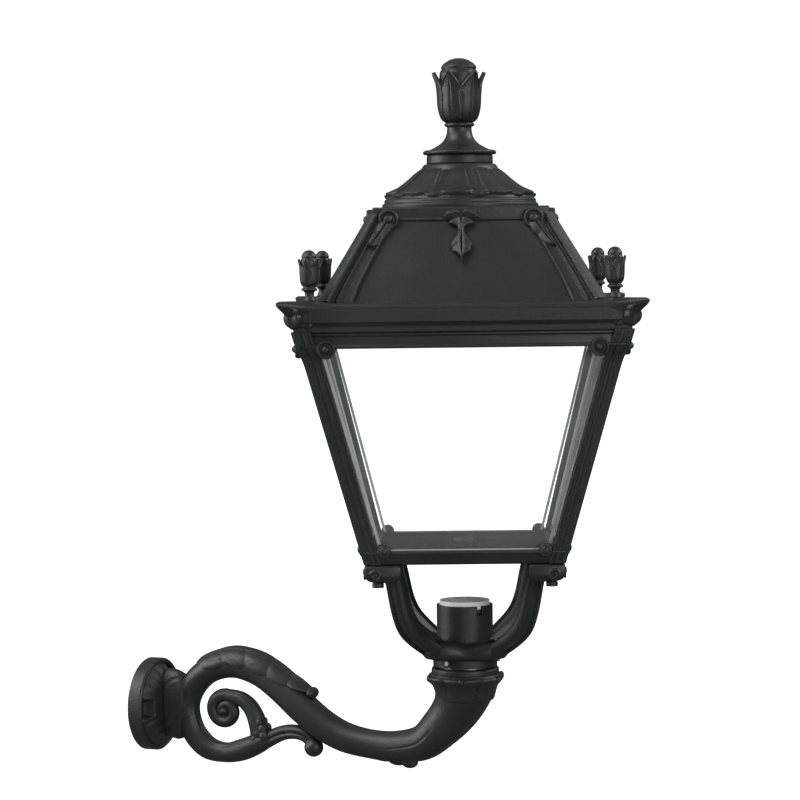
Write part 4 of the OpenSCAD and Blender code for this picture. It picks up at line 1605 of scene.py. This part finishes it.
@dataclass
class Crown(Assembly):
    """Petalled dome, neck and the tulip finial on the roof."""

    rider: Rider = Rider.ROOF
    petals: int = 10
    radius: float = 91.5
    tulip_petals: int = 6
    tulip_turn: float = -114.0

    def build(self) -> None:
        """Builds the crown."""
        self.dome()
        self.neck()
        self.tulip()

    def dome(self) -> None:
        """Stepped base and a dome covered with overlapping petals."""
        (low, high), r = self.span("dome"), self.radius
        base = eased([(r - 8, low), (r, low), (r, low + 4.4), (r - 1.6, low + 5.4), (r - 2.6, low + 6),
                      (r - 2.6, low + 9.4), (r - 4.4, low + 10.6), (r - 5.4, low + 13.6),
                      (r - 9, low + 15), (r - 14, low + 16.6), (r - 26, low + 24), (r - 36, low + 32.5),
                      (r - 44, low + 41), (43.5, high - 2.2), (41.5, high), (5, high), (5, high - 6),
                      (36, high - 6), (r - 47, low + 36), (r - 30, low + 20), (r - 14, low + 10),
                      (r - 8, low + 6)], 0.9)
        self.piece("dome_shell", Form().lathe(base, 128, looped=True), stands_for=("dome",), sharp=32)
        swell = Turned(((40.5, low + 49.5), (44, low + 44), (r - 40, low + 38.5), (r - 31, low + 30.5),
                        (r - 21, low + 23), (r - 12.5, low + 18.6), (r - 6.5, low + 15.6)))
        front = -QUARTER - math.radians(3)
        petal = Leaf(59.5, 21.5, Cut.DOME_PETAL, 0, 0, 2.2, 0.0, 1.5, curl=0.8, sink=3.0,
                     along=54, across=33)
        under = Leaf(61, 15, Cut.DOME_PETAL, 0, 0, 1.0, 0.8, 0.6, sink=2.4, along=44, across=21)
        # the outline runs down the dome, so its outer side is on the other hand
        self.piece("dome_petals", petal.build(self.flipped(swell, front)), count=self.petals)
        self.piece("dome_under_petals", under.build(self.flipped(swell, front + math.pi / self.petals)),
                   count=self.petals)

    @staticmethod
    def flipped(surface: Turned, angle: float) -> Place:
        """Placing on a surface whose outline runs downwards.

        Args:
            surface: the surface.
            angle: angle of the petal's midrib round the axis.

        Returns:
            The placing.
        """
        straight = surface.petal(angle)

        def place(x: Array, y: Array, h: Array) -> Array:
            """Lays lengths with the height to the outside.

            Args:
                x: length along.
                y: length across.
                h: height above the surface.

            Returns:
                The points.
            """
            return straight(x, y, -h)
        return place

    def neck(self) -> None:
        """Smooth neck band, flange and the flared stem."""
        low, flange = self.datum.low("neck_band"), self.datum.low("cap_flange")
        stem, cup = self.datum.low("finial_stem"), self.datum.low("finial_cup")
        band = eased([(0, low), (38.2, low), (39, low + 1.4), (38.6, flange - 1.2), (37, flange),
                      (0, flange)], 0.6, closed=False)
        self.piece("neck_ring", Form().lathe(band, 128), stands_for=("neck_band",), sharp=32)
        disc = eased([(0, flange), (41.6, flange), (43, flange + 1.6), (43, stem - 2.4), (41, stem - 0.9),
                      (36, stem - 0.3), (0, stem)], 0.9, closed=False)
        self.piece("flange_disc", Form().lathe(disc, 128), stands_for=("cap_flange",), sharp=32)
        flare = smooth_path(((34.5, stem), (29, stem + 3), (22.5, stem + 7), (17.6, stem + 12.5),
                             (15, stem + 19), (14.4, stem + 24.5), (14.8, stem + 26.4)), 5)
        rings = np.array([(17.4, stem + 27.4), (17.8, stem + 29), (17.4, stem + 30.6), (14.6, cup - 0.6),
                          (14.4, cup + 0.6), (0, cup + 1)])
        outline = np.vstack([[(0, stem)], flare, eased(rings, 0.8, closed=False)])
        self.piece("stem_flare", Form().lathe(outline, 96), stands_for=("finial_stem",), sharp=40)

    def tulip(self) -> None:
        """Six petals round a cup, and the lipped button on top."""
        low, high = self.span("finial_cup")
        cup = smooth_path(((0, low), (14, low + 0.4), (18.6, low + 5), (21.4, low + 12), (22.6, low + 22),
                           (23, low + 34), (23, low + 48), (22.6, low + 56)), 4)
        button = eased([(22.6, low + 57), (21, low + 60.4), (20, low + 61), (20.6, low + 62.4),
                        (20.8, low + 64.6), (17.6, low + 68.4), (11, high - 2.2), (5, high - 0.5),
                        (0, high)], 0.9, closed=False)
        self.piece("tulip_cup", Form().lathe(np.vstack([cup, button]), 96), stands_for=("finial_cup",))
        swell = Turned(((15, low - 0.6), (19.8, low + 4.6), (22.6, low + 12), (24, low + 21),
                        (24.6, low + 33), (25.6, low + 43), (27.6, low + 52), (30, low + 59.4)))
        petal = Leaf(62, 17.0, Cut.TULIP, 0, 0, 1.5, 0.3, 1.5, curl=0.2, sink=2.2, along=60, across=33)
        self.piece("tulip_petals", petal.build(swell.petal(math.radians(self.tulip_turn))),
                   count=self.tulip_petals)


# ---------- studio ----------


@dataclass
class Studio:
    """Pale floor, soft light and the camera."""

    datum: Datum
    focal: float = 124.5
    distance: float = 3250.0
    height: float = 552.0
    aside: float = -21.6
    pan: float = 0.912
    tip: float = 3.0
    roll: float = 0.70
    ground: float = -1200.0
    # strength of the white that the camera sees behind the object
    white: float = 1.15

    def build(self) -> None:
        """Builds the studio."""
        self.floor()
        self.light()
        self.camera()

    def floor(self) -> None:
        """Wide pale floor that turns white far from the object."""
        form = Form().lathe([(0, self.ground), (2500, self.ground), (6000, self.ground),
                             (60000, self.ground), (60000, self.ground - 100),
                             (0, self.ground - 100)], 72)
        obj = bpy.data.objects.new("floor", form.mesh("floor"))
        bpy.context.scene.collection.objects.link(obj)
        s = Shader("pale_floor")
        away = s.node("ShaderNodeVectorMath", {"operation": "LENGTH"}, {0: s.place}, "Value")
        far = s.ramp(away, 2.5, 7.5)
        seen = s.node("ShaderNodeLightPath", {}, {}, "Is Camera Ray")
        # the floor is seen pale, and throws back little light on the object
        tone = s.mix(seen, (0.16, 0.16, 0.16, 1), s.mix(s.noise(0.7, 2.0), (0.78, 0.78, 0.78, 1),
                                                        (0.82, 0.82, 0.82, 1)))
        glow = s.mix(far * seen, BLACK, WHITE)
        obj.data.materials.append(s.surface(
            {"Roughness": 0.85, "Specular IOR Level": 0.1, "Emission Strength": self.white},
            {"Base Color": tone, "Emission Color": glow}))

    def light(self) -> None:
        """White surround, brighter overhead than below, and five soft lamps."""
        world = bpy.data.worlds.new("studio")
        bpy.context.scene.world = world
        world.use_nodes = True
        tree = world.node_tree
        tree.nodes.clear()
        new, link = tree.nodes.new, tree.links.new
        coord, split = new("ShaderNodeTexCoord"), new("ShaderNodeSeparateXYZ")
        shade = new("ShaderNodeMapRange")
        seen, blend = new("ShaderNodeLightPath"), new("ShaderNodeMix")
        back, end = new("ShaderNodeBackground"), new("ShaderNodeOutputWorld")
        link(coord.outputs["Generated"], split.inputs[0])
        link(split.outputs["Z"], shade.inputs["Value"])
        for key, value in (("From Min", -0.1), ("From Max", 1.0), ("To Min", 0.03), ("To Max", 0.43)):
            shade.inputs[key].default_value = value
        link(seen.outputs["Is Camera Ray"], blend.inputs[0])
        link(shade.outputs[0], blend.inputs[2])
        blend.inputs[3].default_value = self.white
        link(blend.outputs[0], back.inputs["Strength"])
        back.inputs["Color"].default_value = WHITE
        link(back.outputs[0], end.inputs[0])
        aim = Vector((self.datum.reach / MM, 0, 0.35))
        lamps = [("key", (-1.9, -2.2, 3.0), 2.3, 125.0), ("rim", (2.6, 1.4, 2.0), 1.2, 70.0),
                 ("right", (3.0, -2.0, 0.5), 1.8, 62.0), ("left", (-3.0, -1.3, 0.5), 2.0, 78.0),
                 ("front", (1.12, -2.78, -1.07), 1.0, 8.0)]
        for name, offset, size, power in lamps:
            data = bpy.data.lights.new(name, "AREA")
            data.shape, data.size, data.energy = "DISK", size, power
            lamp = bpy.data.objects.new(name, data)
            bpy.context.scene.collection.objects.link(lamp)
            lamp.location = aim + Vector(offset)
            lamp.rotation_euler = (-Vector(offset)).to_track_quat("-Z", "Y").to_euler()

    def camera(self) -> None:
        """Camera that looks at the lantern's front from a little above its middle."""
        data = bpy.data.cameras.new("camera")
        data.lens, data.sensor_width = self.focal, 36
        data.clip_start, data.clip_end = 0.05, 200
        data.dof.use_dof = False
        cam = bpy.data.objects.new("camera", data)
        bpy.context.scene.collection.objects.link(cam)
        spot = shifted(*(Vector((self.aside, -self.distance, self.height)) / MM))
        look = (turned(math.radians(self.pan), "Z") @ turned(math.radians(90 - self.tip), "X")
                @ turned(math.radians(-self.roll), "Z"))
        cam.matrix_world = self.datum.matrix() @ spot @ look
        bpy.context.scene.camera = cam
        bpy.context.scene.view_settings.view_transform = "Standard"


def main() -> None:
    """Builds the studio and every sub-assembly."""
    logging.basicConfig(level=logging.INFO, format="%(message)s")
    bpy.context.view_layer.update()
    datum = Datum.read()
    Studio(datum).build()
    shop = Workshop(datum)
    shop.dress_nodes()
    for assembly in (WallBracket(shop), Fork(shop), LanternFrame(shop), Roof(shop), Crown(shop)):
        LOG.info("%s", type(assembly).__name__)
        assembly.build()
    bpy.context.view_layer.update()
    LOG.info("%d pieces", shop.made)


if __name__ == "__main__":
    main()
